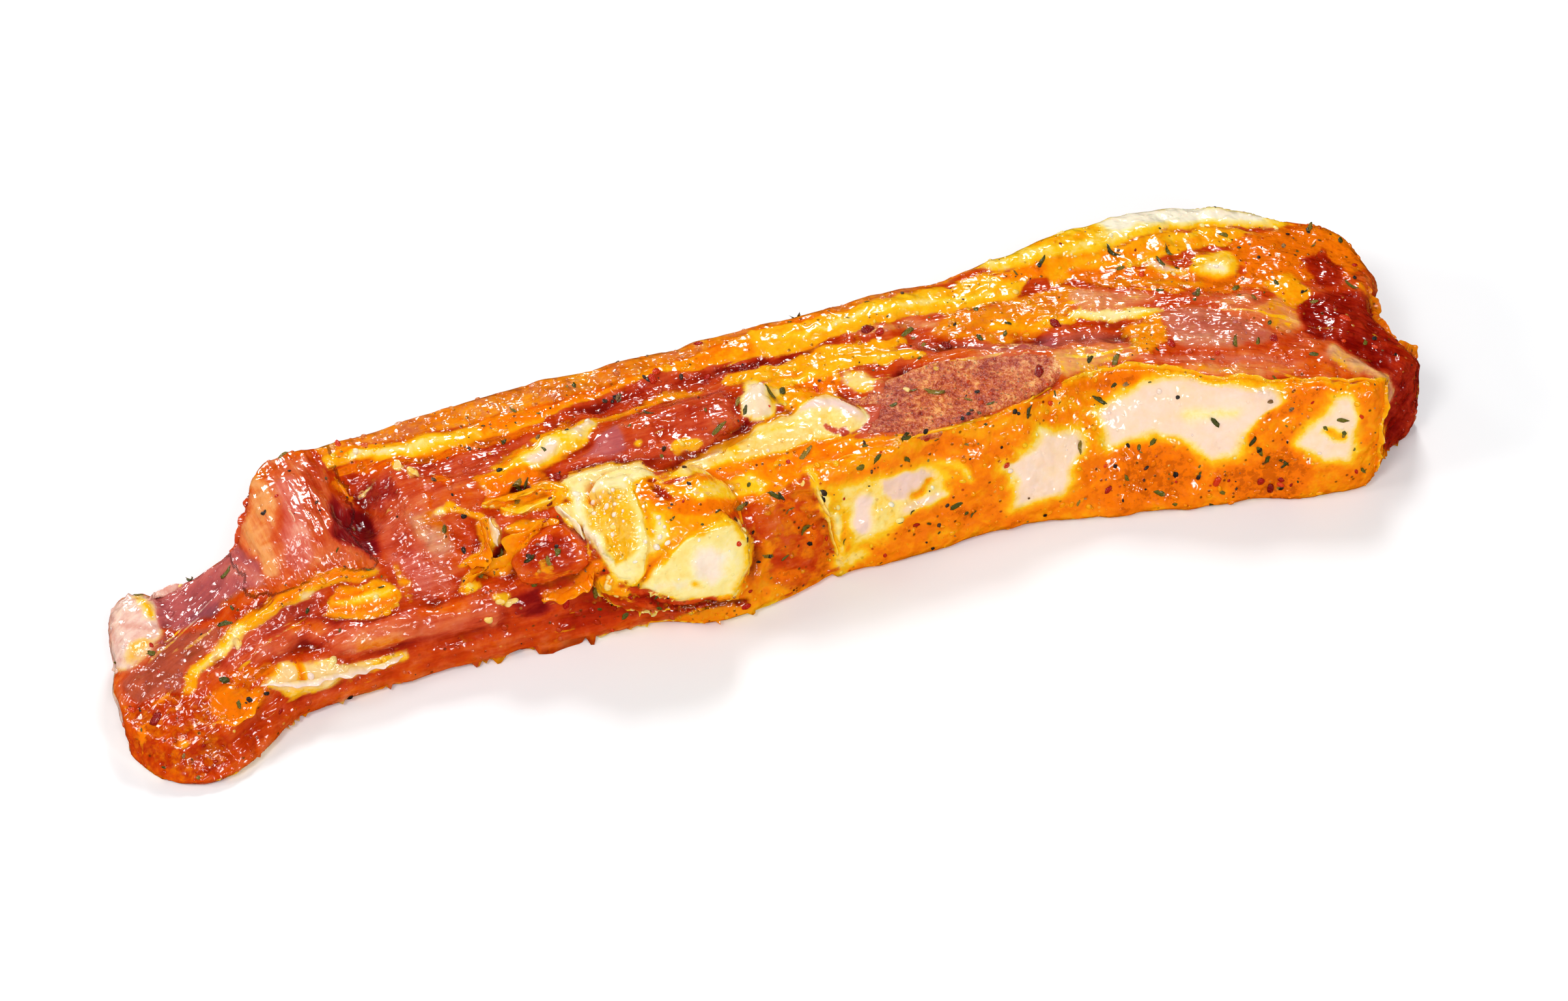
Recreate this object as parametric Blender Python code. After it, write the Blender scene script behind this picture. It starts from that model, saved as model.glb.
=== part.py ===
"""Raw bone-in pork belly slice, lying on its lower cut face.

X runs along the slice, +Y is the rind side, -Y the rib side and +Z is up. The origin is at the
bottom centre of the whole slice. Three solids: the flesh with its fat and rind, the sawn rib that
shows in the upper cut face, and the block of rib cartilage at the front. Units are metres.
"""

import math

import bmesh
import bpy
import numpy as np

# Driving dimensions
LEFT_END = -0.1265
RIGHT_END = 0.1320
STATION_STEP = 0.0035          # spacing of the cross-sections along X
NODE_GAP = 0.0003              # clearance between neighbouring solids
FOOT_RADIUS = 0.0022           # rounding where a side meets the flat underside
EDGE_RADIUS = 0.0034           # rounding where a side meets the top
FOOT_SHARE = 0.3               # roundings never take more than these shares of a thin end
EDGE_SHARE = 0.6
UNDERSIDE_SPANS = 4
TOP_SPANS = 22
ARC_SPANS = 3
FACE_SPANS = 3

# Plan outline: (x, y) of each edge, the front being the rib side and the rear the rind
FRONT_TOP = [
    (-0.1265, -0.010), (-0.119, -0.018), (-0.109, -0.017), (-0.097, -0.011), (-0.070, -0.009),
    (-0.040, -0.0095), (-0.030, -0.010), (-0.020, -0.012), (-0.010, -0.0125), (0.003, -0.0105),
    (0.031, -0.008), (0.046, -0.0085), (0.067, -0.0042), (0.077, -0.0083), (0.092, -0.0168),
    (0.106, -0.0218), (0.1150, -0.0257), (0.1175, -0.0240), (0.120, -0.0215), (0.1305, -0.0180),
    (0.1320, -0.0150),
]
FRONT_FOOT = [
    (-0.1265, -0.012), (-0.121, -0.020), (-0.114, -0.023), (-0.104, -0.0195), (-0.095, -0.0135),
    (-0.070, -0.012), (-0.040, -0.0135), (-0.029, -0.0145), (-0.015, -0.0190), (-0.002, -0.0180),
    (0.012, -0.0150), (0.045, -0.0155), (0.062, -0.0185), (0.080, -0.0225), (0.096, -0.0255),
    (0.1145, -0.0285), (0.1170, -0.0270), (0.1195, -0.0240), (0.1305, -0.0205), (0.1320, -0.0170),
]
REAR_TOP = [
    (-0.1265, -0.001), (-0.122, 0.008), (-0.116, 0.0135), (-0.109, 0.0155), (-0.100, 0.0155),
    (-0.0965, 0.018), (-0.0925, 0.0265), (-0.087, 0.0305), (-0.030, 0.0312), (0.040, 0.0292),
    (0.057, 0.0298), (0.075, 0.0324), (0.088, 0.0333), (0.103, 0.0315), (0.112, 0.0280),
    (0.121, 0.0222), (0.1305, 0.0178), (0.1320, 0.0150),
]
REAR_LEAN = 0.0012             # the rind side stands this much further in at its foot

# Heights along X: along the front edge, and of the crown behind it
FRONT_HEIGHT = [
    (-0.1265, 0.0070), (-0.112, 0.0075), (-0.090, 0.0095), (-0.070, 0.0110), (-0.054, 0.0150),
    (-0.040, 0.0200), (-0.030, 0.0220), (-0.018, 0.0195), (-0.008, 0.0205), (0.004, 0.0245),
    (0.020, 0.0262), (0.070, 0.0268), (0.108, 0.0256), (0.118, 0.0225), (0.127, 0.0205),
    (0.1320, 0.0165),
]
CROWN_HEIGHT = [
    (-0.1265, 0.0100), (-0.120, 0.0125), (-0.110, 0.0145), (-0.102, 0.0172), (-0.094, 0.0215),
    (-0.080, 0.0238), (-0.050, 0.0250), (0.000, 0.0258), (0.070, 0.0264), (0.100, 0.0258),
    (0.116, 0.0248), (0.127, 0.0232), (0.1305, 0.0215), (0.1320, 0.0190),
]
SLOPE_WIDTH = 0.45             # share of the width over which the front height rises to the crown

# Top relief: (x, y, half length, half width, turn in degrees, height)
BULGES = {
    "muscle_lobe": (-0.0875, 0.0125, 0.0080, 0.0165, 4, 0.0036),
    "hollow": (-0.0737, 0.0130, 0.0040, 0.0085, 12, -0.0075),
    "meat_beside_hollow": (-0.0640, 0.0120, 0.0085, 0.0090, 0, 0.0008),
    "fat_lens": (-0.0400, 0.0120, 0.0135, 0.0036, 18, 0.0016),
    "muscle_lens": (-0.0195, 0.0100, 0.0165, 0.0050, -4, 0.0020),
    "crevice": (-0.0080, 0.0028, 0.0070, 0.0016, 6, -0.0030),
    "fat_knob_on_top": (0.0020, 0.0090, 0.0034, 0.0046, 0, 0.0014),
    "meat_strip": (-0.0110, 0.0190, 0.0220, 0.0030, 2, -0.0014),
    "rind_fat_ridge": (0.0700, 0.0265, 0.0360, 0.0042, 0, 0.0010),
    "seam_behind_rib": (0.0560, 0.0100, 0.0260, 0.0036, -16, -0.0018),
    "meat_behind_membrane": (0.0980, -0.0040, 0.0120, 0.0080, -30, 0.0010),
    "seam_at_membrane": (0.0980, -0.0150, 0.0160, 0.0018, -28, -0.0022),
    "torn_flap": (-0.0480, -0.0020, 0.0105, 0.0070, -20, 0.0022),
    "torn_notch_low": (-0.0545, -0.0040, 0.0034, 0.0018, -35, -0.0034),
    "torn_notch_high": (-0.0470, 0.0060, 0.0050, 0.0014, 10, -0.0026),
    "fibre_lens": (-0.0765, -0.0040, 0.0075, 0.0040, -8, 0.0016),
    "flank_groove": (-0.0980, 0.0010, 0.0130, 0.0016, 28, -0.0022),
    "red_band": (-0.0720, -0.0100, 0.0240, 0.0036, -4, 0.0022),
}

# Low unevenness of every cut surface: (waves per metre along X, along Y, height)
SWELLS = [(17.0, 31.0, 0.00030), (41.0, -57.0, 0.00022), (73.0, 64.0, 0.00015)]
SWELL_PHASE = 1000.0           # radians of phase per metre of height, so the waves start apart
MEMBRANE_SWELL = 0.0012        # the rib side bellies out between foot and edge
MEMBRANE_SPAN = (0.004, 0.114)
MEMBRANE_FADES = (0.020, 0.006)

# Dent across the right end: where along Y, half width, depth
END_DENT = (-0.0045, 0.0062, 0.0055)
END_DENT_REACH = 0.014         # how far in from the end it fades out

# Lump of fat hanging from the left end: centre and half sizes
FAT_LUMP_CENTRE = (-0.1186, 0.0072, 0.0096)
FAT_LUMP_HALF = (0.0064, 0.0094, 0.0062)
FAT_LUMP_SQUARENESS = 2.2
FAT_LUMP_SPOKES = 20
FAT_LUMP_ROWS = 12

# Sawn rib: a boat-shaped length of bone, flush with the top
RIB_CENTRE = (0.0375, 0.0005)
RIB_HALF = (0.0235, 0.0078)
RIB_TURN = 3.0
RIB_DEPTH = 0.0110
RIB_SQUARENESS = 2.6
RIB_SPOKES = 32
RIB_RINGS = 6
POCKET_HEADROOM = 0.006

# Rib cartilage: a blunt block in the front, proud of the flesh
CARTILAGE_CENTRE = (-0.0232, -0.0088, 0.0172)
CARTILAGE_HALF = (0.0146, 0.0094, 0.0100)
CARTILAGE_TURN = -16.0
CARTILAGE_SQUARENESS = 2.9
CARTILAGE_LEAN = 0.30          # how far its top leans back, per metre of height
CARTILAGE_SPOKES = 28
CARTILAGE_ROWS = 14

MATERIALS = {
    "meat_slice": ((0.62, 0.17, 0.09, 1.0), 0.28),
    "rib_bone": ((0.34, 0.10, 0.05, 1.0), 0.45),
    "rib_cartilage": ((0.88, 0.76, 0.48, 1.0), 0.30),
}


def curve_through(points):
    """Returns f(x): a smooth curve through the points that doesn't overshoot them."""
    xs, ys = (np.array(column, float) for column in zip(*points))
    slopes = np.diff(ys) / np.diff(xs)
    tangents = np.zeros(len(xs))
    same_way = slopes[:-1] * slopes[1:] > 0
    means = 2 * slopes[:-1] * slopes[1:] / np.where(same_way, slopes[:-1] + slopes[1:], 1)
    tangents[1:-1] = np.where(same_way, means, 0)
    tangents[0], tangents[-1] = slopes[0], slopes[-1]

    def value(x):
        i = int(np.clip(np.searchsorted(xs, x) - 1, 0, len(xs) - 2))
        step = xs[i + 1] - xs[i]
        t = (x - xs[i]) / step
        return float(
            ys[i] * (1 + 2 * t) * (1 - t) ** 2
            + ys[i + 1] * t * t * (3 - 2 * t)
            + step * (tangents[i] * t * (1 - t) ** 2 - tangents[i + 1] * t * t * (1 - t))
        )

    return value


front_top = curve_through(FRONT_TOP)
front_foot = curve_through(FRONT_FOOT)
rear_top = curve_through(REAR_TOP)
front_height = curve_through(FRONT_HEIGHT)
crown_height = curve_through(CROWN_HEIGHT)


def ease(t):
    t = min(max(t, 0.0), 1.0)
    return t * t * (3 - 2 * t)


def relief(x, y):
    """Height that the bulges, seams and swells add at a point of the top."""
    total = 0.0
    for cx, cy, half_length, half_width, turn, height in BULGES.values():
        c, s = math.cos(math.radians(turn)), math.sin(math.radians(turn))
        along = (c * (x - cx) + s * (y - cy)) / half_length
        across = (c * (y - cy) - s * (x - cx)) / half_width
        total += height * math.exp(-(along**2 + across**2))
    for along_x, along_y, height in SWELLS:
        turns = along_x * x + along_y * y
        total += height * math.sin(2 * math.pi * turns + SWELL_PHASE * height)
    return total


def top_height(x, y):
    near, far = front_top(x), rear_top(x)
    share = (y - near) / max(far - near, EDGE_RADIUS)
    base = front_height(x) + (crown_height(x) - front_height(x)) * ease(share / SLOPE_WIDTH)
    return base + relief(x, y)


def rounded_side(foot_y, top_y, top_z, inward, edge_radius, belly):
    """Points up one side in the YZ plane, from the flat underside to where the top begins."""
    foot = min(FOOT_RADIUS, FOOT_SHARE * top_z)
    edge = min(edge_radius, EDGE_SHARE * top_z)
    points = []
    for k in range(ARC_SPANS + 1):
        a = 0.5 * math.pi * k / ARC_SPANS
        points.append((foot_y + inward * foot * (1 - math.sin(a)), foot * (1 - math.cos(a))))
    for k in range(1, FACE_SPANS):
        t = k / FACE_SPANS
        out = belly * math.sin(math.pi * t)
        points.append((foot_y + (top_y - foot_y) * t - inward * out, foot + (top_z - edge - foot) * t))
    for k in range(ARC_SPANS + 1):
        a = 0.5 * math.pi * k / ARC_SPANS
        points.append((top_y + inward * edge * (1 - math.cos(a)), top_z - edge * (1 - math.sin(a))))
    return points


def section(x):
    """Closed ring of (y, z) points across the slice at x, front foot first."""
    near, far = front_top(x), rear_top(x)
    edge = min(EDGE_RADIUS, FOOT_SHARE * (far - near))
    start, end = MEMBRANE_SPAN
    fade_in, fade_out = MEMBRANE_FADES
    belly = MEMBRANE_SWELL * ease((x - start) / fade_in) * ease((end - x) / fade_out)
    front = rounded_side(front_foot(x), near, top_height(x, near + edge), 1, edge, belly)
    rear = rounded_side(far - REAR_LEAN, far, top_height(x, far - edge), -1, edge, 0.0)
    first_y, last_y = front[-1][0], rear[-1][0]
    ring = list(front)
    for k in range(1, TOP_SPANS):
        y = first_y + (last_y - first_y) * k / TOP_SPANS
        ring.append((y, top_height(x, y)))
    ring += reversed(rear)
    for k in range(1, UNDERSIDE_SPANS):
        ring.append((rear[0][0] + (front[0][0] - rear[0][0]) * k / UNDERSIDE_SPANS, 0.0))
    return ring


def dented(x, y):
    """x of a point after the dent in the right end is pressed in."""
    centre, half_width, depth = END_DENT
    share = ease((x - RIGHT_END + END_DENT_REACH) / END_DENT_REACH)
    return x - depth * share * math.exp(-(((y - centre) / half_width) ** 2))


def make_object(name, verts, faces):
    mesh = bpy.data.meshes.new(name)
    mesh.from_pydata(verts, [], faces)
    bm = bmesh.new()
    bm.from_mesh(mesh)
    bmesh.ops.recalc_face_normals(bm, faces=bm.faces)
    bmesh.ops.triangulate(bm, faces=bm.faces)
    bm.to_mesh(mesh)
    bm.free()
    mesh.shade_smooth()
    obj = bpy.data.objects.new(name, mesh)
    bpy.context.scene.collection.objects.link(obj)
    return obj


def loft(rings):
    """Faces between rings of equal length, with one face capping each end."""
    count = len(rings[0])
    verts = [point for ring in rings for point in ring]
    faces = []
    for i in range(len(rings) - 1):
        for j in range(count):
            k = (j + 1) % count
            a, b = i * count, (i + 1) * count
            faces.append((a + j, a + k, b + k, b + j))
    faces.append(tuple(range(count)))
    faces.append(tuple(range((len(rings) - 1) * count, len(rings) * count)))
    return verts, faces


def make_flesh():
    spans = round((RIGHT_END - LEFT_END) / STATION_STEP)
    xs = [LEFT_END + (RIGHT_END - LEFT_END) * k / spans for k in range(spans + 1)]
    rings = [[(dented(x, y), y, z) for y, z in section(x)] for x in xs]
    return make_object("meat_slice", *loft(rings))


def rounded_block(name, half, squareness, spokes, rows, place, grow=0.0):
    """A closed superellipsoid of the given half sizes, each point moved by place()."""

    def blunt(value):
        return math.copysign(abs(value) ** (2 / squareness), value)

    hx, hy, hz = (size + grow for size in half)
    verts = [place(0, 0, -hz)]
    for i in range(1, rows):
        lat = math.pi * (i / rows - 0.5)
        for j in range(spokes):
            lon = 2 * math.pi * j / spokes
            ring = blunt(math.cos(lat))
            verts.append(place(
                hx * ring * blunt(math.cos(lon)), hy * ring * blunt(math.sin(lon)),
                hz * blunt(math.sin(lat)),
            ))
    verts.append(place(0, 0, hz))
    faces = []
    last = len(verts) - 1
    for j in range(spokes):
        k = (j + 1) % spokes
        faces.append((0, 1 + k, 1 + j))
        faces.append((last, last - spokes + j, last - spokes + k))
        for i in range(rows - 2):
            a, b = 1 + i * spokes, 1 + (i + 1) * spokes
            faces.append((a + j, a + k, b + k, b + j))
    return make_object(name, verts, faces)


def place_cartilage(x, y, z):
    c, s = math.cos(math.radians(CARTILAGE_TURN)), math.sin(math.radians(CARTILAGE_TURN))
    cx, cy, cz = CARTILAGE_CENTRE
    return (cx + c * x - s * y, cy + s * x + c * y + CARTILAGE_LEAN * z, cz + z)


def place_fat_lump(x, y, z):
    cx, cy, cz = FAT_LUMP_CENTRE
    return (cx + x, cy + y, cz + z)


def rib_shape(name, grow=0.0, headroom=0.0):
    """The bone's boat shape. With headroom its lid rises clear of the top, as a pocket cutter."""
    c, s = math.cos(math.radians(RIB_TURN)), math.sin(math.radians(RIB_TURN))
    half_length, half_width = (size + grow for size in RIB_HALF)

    def point(share, angle, lid):
        u, v = math.cos(angle), math.sin(angle)
        reach = share / (abs(u) ** RIB_SQUARENESS + abs(v) ** RIB_SQUARENESS) ** (1 / RIB_SQUARENESS)
        along, across = half_length * u * reach, half_width * v * reach
        x, y = RIB_CENTRE[0] + c * along - s * across, RIB_CENTRE[1] + s * along + c * across
        if lid:
            return (x, y, top_height(x, y) + headroom)
        return (x, y, top_height(x, y) - (RIB_DEPTH + grow) * math.sqrt(1 - share**2))

    verts = [point(0, 0, True), point(0, 0, False)]
    lid_rings, hull_rings = [], []
    for i in range(1, RIB_RINGS + 1):
        share = math.sin(0.5 * math.pi * i / RIB_RINGS)
        angles = [2 * math.pi * j / RIB_SPOKES for j in range(RIB_SPOKES)]
        lid_rings.append(len(verts))
        verts += [point(share, angle, True) for angle in angles]
        if i < RIB_RINGS or headroom:
            hull_rings.append(len(verts))
            verts += [point(share, angle, False) for angle in angles]
    if not headroom:
        hull_rings.append(lid_rings[-1])
    faces = []
    for centre, rings in ((0, lid_rings), (1, hull_rings)):
        for j in range(RIB_SPOKES):
            k = (j + 1) % RIB_SPOKES
            faces.append((centre, rings[0] + j, rings[0] + k))
            for a, b in zip(rings, rings[1:]):
                faces.append((a + j, b + j, b + k, a + k))
    if headroom:
        lid, hull = lid_rings[-1], hull_rings[-1]
        for j in range(RIB_SPOKES):
            k = (j + 1) % RIB_SPOKES
            faces.append((lid + j, hull + j, hull + k, lid + k))
    return make_object(name, verts, faces)


def as_tool(obj):
    obj.hide_render = True
    obj.display_type = "WIRE"
    return obj


def combine(obj, tool, operation):
    boolean = obj.modifiers.new(tool.name, "BOOLEAN")
    boolean.operation = operation
    boolean.solver = "EXACT"
    boolean.object = as_tool(tool)


def give_material(obj):
    colour, roughness = MATERIALS[obj.name]
    material = bpy.data.materials.new(obj.name)
    material.use_nodes = True
    shader = material.node_tree.nodes["Principled BSDF"]
    shader.inputs["Base Color"].default_value = colour
    shader.inputs["Roughness"].default_value = roughness
    shader.inputs["Metallic"].default_value = 0.0
    obj.data.materials.append(material)


def centre_all(objects, nodes):
    """Moves every mesh by one step, so the origin is at the bottom centre of the slice."""
    corners = np.array([v.co for obj in nodes for v in obj.data.vertices])
    low, high = corners.min(0), corners.max(0)
    shift = (-(low[0] + high[0]) / 2, -(low[1] + high[1]) / 2, -low[2])
    for obj in objects:
        for vertex in obj.data.vertices:
            for axis in range(3):
                vertex.co[axis] += shift[axis]


def main():
    for obj in list(bpy.data.objects):
        bpy.data.objects.remove(obj)

    flesh = make_flesh()
    lump = rounded_block(
        "fat_lump_form", FAT_LUMP_HALF, FAT_LUMP_SQUARENESS, FAT_LUMP_SPOKES, FAT_LUMP_ROWS,
        place_fat_lump,
    )
    rib = rib_shape("rib_bone")
    rib_pocket = rib_shape("rib_pocket", NODE_GAP, POCKET_HEADROOM)
    block = (
        CARTILAGE_HALF, CARTILAGE_SQUARENESS, CARTILAGE_SPOKES, CARTILAGE_ROWS, place_cartilage,
    )
    cartilage = rounded_block("rib_cartilage", *block)
    cartilage_pocket = rounded_block("cartilage_pocket", *block, grow=NODE_GAP)

    solids = [flesh, rib, cartilage]
    centre_all([*solids, lump, rib_pocket, cartilage_pocket], [*solids, lump])
    combine(flesh, lump, "UNION")
    combine(flesh, rib_pocket, "DIFFERENCE")
    combine(flesh, cartilage_pocket, "DIFFERENCE")
    for obj in solids:
        give_material(obj)


main()
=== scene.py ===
import math
from itertools import product

import bpy
import numpy as np
from mathutils import Matrix, Vector


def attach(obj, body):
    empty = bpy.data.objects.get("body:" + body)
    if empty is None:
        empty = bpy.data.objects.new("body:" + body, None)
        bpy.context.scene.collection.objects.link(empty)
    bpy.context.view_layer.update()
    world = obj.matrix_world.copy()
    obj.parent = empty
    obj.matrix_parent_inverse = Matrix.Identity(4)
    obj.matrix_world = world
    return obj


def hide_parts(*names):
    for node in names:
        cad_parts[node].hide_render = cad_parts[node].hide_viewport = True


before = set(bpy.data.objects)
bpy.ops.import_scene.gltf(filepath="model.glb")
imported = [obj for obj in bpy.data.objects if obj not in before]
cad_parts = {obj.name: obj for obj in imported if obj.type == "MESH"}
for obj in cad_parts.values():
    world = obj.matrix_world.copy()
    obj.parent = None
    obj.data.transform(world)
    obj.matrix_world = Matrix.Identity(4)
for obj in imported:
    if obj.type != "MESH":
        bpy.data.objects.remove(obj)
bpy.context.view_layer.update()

mm = 0.001


# camera, lights and floor

view = {
    "eye": (-0.16432, -0.40052, 0.51272),    # where the photo was taken from
    "aim": (0.0, -0.0055, 0.012),
    "lampAim": (0.0, 0.0, 0.01),
    "roll": 2.1,
    "lens": 80.0,
    "floor": (0.962, 0.962, 0.966),
    "floorSize": 6.0,
    "floorRoughness": 0.55,
    "world": (0.93, 0.96, 1.0),
    "worldStrength": 0.27,
}

# Soft lamps light the form, small ones make the glints: place, size, watts, colour, whether it glints
lamps = {
    "softKey": ((-0.50, -0.45, 0.95), 0.60, 2.0, (1.0, 0.985, 0.96), False),
    "frontFill": ((-0.05, -0.95, 0.45), 0.50, 0.7, (1.0, 0.99, 0.98), False),
    "keyGlint": ((-0.55, -0.35, 0.95), 0.24, 2.8, (1.0, 0.99, 0.97), True),
    "rearGlint": ((0.28, 0.62, 0.80), 0.22, 4.0, (1.0, 1.0, 1.0), True),
    "frontGlint": ((0.35, -0.90, 0.50), 0.20, 2.3, (1.0, 1.0, 1.0), True),
    "nearGlint": ((-0.10, -0.65, 0.85), 0.16, 1.5, (1.0, 1.0, 1.0), True),
    "leftGlint": ((-0.85, 0.10, 0.55), 0.19, 1.9, (1.0, 1.0, 1.0), True),
    "backGlint": ((-0.30, 0.95, 0.16), 0.20, 2.4, (1.0, 1.0, 1.0), True),
}


def addCamera():
    bpy.ops.object.camera_add(location=view["eye"])
    camera = bpy.context.object
    camera.name = "photoCamera"
    look = Vector(view["aim"]) - Vector(view["eye"])
    turn = look.to_track_quat("-Z", "Y").to_matrix().to_4x4()
    roll = Matrix.Rotation(math.radians(view["roll"]), 4, "Z")
    camera.rotation_euler = (turn @ roll).to_euler()
    camera.data.lens = view["lens"]
    camera.data.sensor_width = 36.0
    camera.data.clip_start = 0.01
    bpy.context.scene.camera = camera


def addLamps():
    for name, (place, size, watts, colour, glints) in lamps.items():
        bpy.ops.object.light_add(type="AREA", location=place)
        lamp = bpy.context.object
        lamp.name = name
        lamp.data.size = size
        lamp.data.energy = watts
        lamp.data.color = colour
        lamp.visible_glossy = glints
        aim = Vector(view["lampAim"]) - Vector(place)
        lamp.rotation_euler = aim.to_track_quat("-Z", "Y").to_euler()
    world = bpy.data.worlds.new("studio")
    world.use_nodes = True
    sky = world.node_tree.nodes["Background"]
    sky.inputs["Color"].default_value = (*view["world"], 1)
    sky.inputs["Strength"].default_value = view["worldStrength"]
    bpy.context.scene.world = world
    world.cycles_visibility.glossy = False
    bpy.context.scene.view_settings.view_transform = "Standard"


def addFloor():
    bpy.ops.mesh.primitive_plane_add(size=view["floorSize"], location=(0, 0, -0.0001))
    floor = bpy.context.object
    floor.name = "floor"
    paint = bpy.data.materials.new("paleTable")
    paint.use_nodes = True
    shader = paint.node_tree.nodes["Principled BSDF"]
    shader.inputs["Base Color"].default_value = (*view["floor"], 1)
    shader.inputs["Roughness"].default_value = view["floorRoughness"]
    floor.data.materials.append(paint)
    floor.visible_glossy = False


# shader helpers

class Wire:
    # an output socket that can be used in sums
    def __init__(self, finish, socket):
        self.finish, self.socket = finish, socket

    def maths(self, operation, first, second):
        return self.finish.node("ShaderNodeMath", {"operation": operation}, {0: first, 1: second})

    def __add__(self, other):
        return self.maths("ADD", self, other)

    def __radd__(self, other):
        return self.maths("ADD", other, self)

    def __sub__(self, other):
        return self.maths("SUBTRACT", self, other)

    def __rsub__(self, other):
        return self.maths("SUBTRACT", other, self)

    def __mul__(self, other):
        return self.maths("MULTIPLY", self, other)

    def __rmul__(self, other):
        return self.maths("MULTIPLY", other, self)


def tint(red, green, blue):
    # a colour as seen on screen, turned into the shader's linear one
    return tuple(c / 12.92 if c <= 0.04045 else ((c + 0.055) / 1.055) ** 2.4
                 for c in (red, green, blue)) + (1.0,)


class Finish:
    # one material and the ways to wire it
    def __init__(self, name, constants):
        self.material = bpy.data.materials.new(name)
        self.material.use_nodes = True
        self.tree = self.material.node_tree
        self.shader = self.tree.nodes["Principled BSDF"]
        for socket, value in constants.items():
            self.shader.inputs[socket].default_value = value
        self.place = self.node("ShaderNodeTexCoord", {}, {}, "Object")

    def node(self, kind, settings, inputs, out=0):
        made = self.tree.nodes.new(kind)
        for key, value in settings.items():
            if key == "stops":
                ramp = made.color_ramp
                while len(ramp.elements) < len(value):
                    ramp.elements.new(1.0)
                for element, (where, *colour) in zip(ramp.elements, value):
                    element.position = where
                    element.color = tint(*colour)
            else:
                setattr(made, key, value)
        for key, value in inputs.items():
            if isinstance(value, Wire):
                self.tree.links.new(value.socket, made.inputs[key])
            else:
                made.inputs[key].default_value = value
        return Wire(self, made.outputs[out])

    def feed(self, socket, wire):
        self.tree.links.new(wire.socket, self.shader.inputs[socket])

    def painted(self, name, out="Fac"):
        return self.node("ShaderNodeAttribute", {"attribute_name": name}, {}, out)

    def noise(self, where, perMetre, detail, rough, warp=0.0):
        # unevenness from about -0.5 to 0.5
        return self.node("ShaderNodeTexNoise", {}, {
            "Vector": where, "Scale": perMetre, "Detail": detail, "Roughness": rough,
            "Distortion": warp}) - 0.5

    def stretched(self, where, factors):
        return self.node("ShaderNodeMapping", {}, {"Vector": where, "Scale": factors})

    def step(self, value, low, high, start=0.0, end=1.0):
        # eases from start to end while value goes from low to high
        return self.node("ShaderNodeMapRange", {"interpolation_type": "SMOOTHSTEP"}, {
            "Value": value, "From Min": low, "From Max": high, "To Min": start, "To Max": end})

    def ramp(self, value, stops):
        return self.node("ShaderNodeValToRGB", {"stops": stops}, {"Fac": value})

    def mix(self, share, first, second, way="MIX"):
        return self.node("ShaderNodeMix", {"data_type": "RGBA", "blend_type": way},
                         {0: share, 6: first, 7: second}, 2)

    def bump(self, height, depth):
        return self.node("ShaderNodeBump", {}, {"Height": height, "Distance": depth, "Strength": 1.0})


# what was read off the photo, in millimetres on the level of the cut face

plan = {
    "level": 27.0,
    "origin": (13.25, -37.4),
    "grazing": 0.22,               # what faces the photo's eye less than this gets less of the marks
    "ends": (-139, 101),           # beyond these the layers run on down the ends
    "hem": 2,                      # how far behind the front edge the underside's pattern starts
    "reach": 6,                    # how far outside its outline a mark is looked for
    "soft": 1.8,                   # a border's softness, where its mark doesn't say
    "edge": 1.2,                   # how far inside its outline a mark is at full height
    # how far borders stray in x and in y: mm, size of the waves, seed
    "stray": [[(1.1, 6.5, 3), (0.7, 2.4, 5)], [(1.0, 6.5, 4), (0.7, 2.4, 6)]],
}

# The paint where there is no mark
bareFlesh = {"fat": 0.12, "pale": 0.3, "dark": 0.42, "marinade": 0.34, "rind": 0.0, "wet": 0.6}


def readPoints(text):
    return [tuple(float(number) for number in point.split()) for point in text.split(",")]


# Each mark is an area or a stroke with half widths, laid over the ones before it.
# fat: 0 muscle to 1 fat.  pale: 0 yellow fat to 1 lilac white.  dark: 0 pink to 1 crimson black.
# marinade: how thick.  wet: how much it glints.  rise: height in mm, reached edge mm inside.
# soft: how many mm the border fades over.
marks = []


def area(corners, **paint):
    marks.append({"area": readPoints(corners), **paint})


def stroke(knots, **paint):
    marks.append({"line": readPoints(knots), **paint})


# rind edge and the layers just inside it
stroke("-99 62 3, -94 62.6 3, -81 61.7 3.7, -60 61.2 3.8, -40 61 3.2, -25 62 2.2, -10 63.2 1.8, "
       "20 62.6 1.4, 42 63.4 0.8", fat=0.3, dark=0.15, marinade=0.34, rind=1, wet=1, rise=0.4)
area("-92 54, -75 53, -58 52.5, -54 50.5, -66 45, -75 43, -88 42.5, -92 47", dark=0.46, marinade=0.22)
area("-90 51, -85 51, -84 45, -87 43, -91 45", dark=0.64, marinade=0.06)
area("-87 45, -82 46, -78 42, -82 38, -87 40", dark=0.38, marinade=0.15)
stroke("-92 54.6 0.8, -80 52.8 0.9, -66 51.9 0.9, -55 52.5 0.8", dark=0.4, marinade=0.85)
stroke("-94 58 1.5, -87.5 56.5 1.7, -79 55.4 1.9, -69 54.9 2, -60 54.9 2.3, -50 56.6 1.4, -40 57.2 0.8, "
       "-28 58 0.9", fat=1, pale=0.1, marinade=0.3, rise=0.6, edge=1.6)
stroke("-82 55.6 1, -70 55.2 1", pale=0.5, marinade=0.16)
stroke("-64 55 1.8, -50 56.6 1.2, -30 58 0.8", marinade=0.6)
stroke("-88.5 56.2 0.6, -83 55.6 0.6", pale=0.8, marinade=0.03, rise=0.3)
stroke("-91 58 0.5, -84 56.9 0.3", marinade=0.7)
stroke("-25 58.4 1.4, -17 58.4 2.2, -8 58.2 2.4", fat=1, marinade=0.55)
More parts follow.
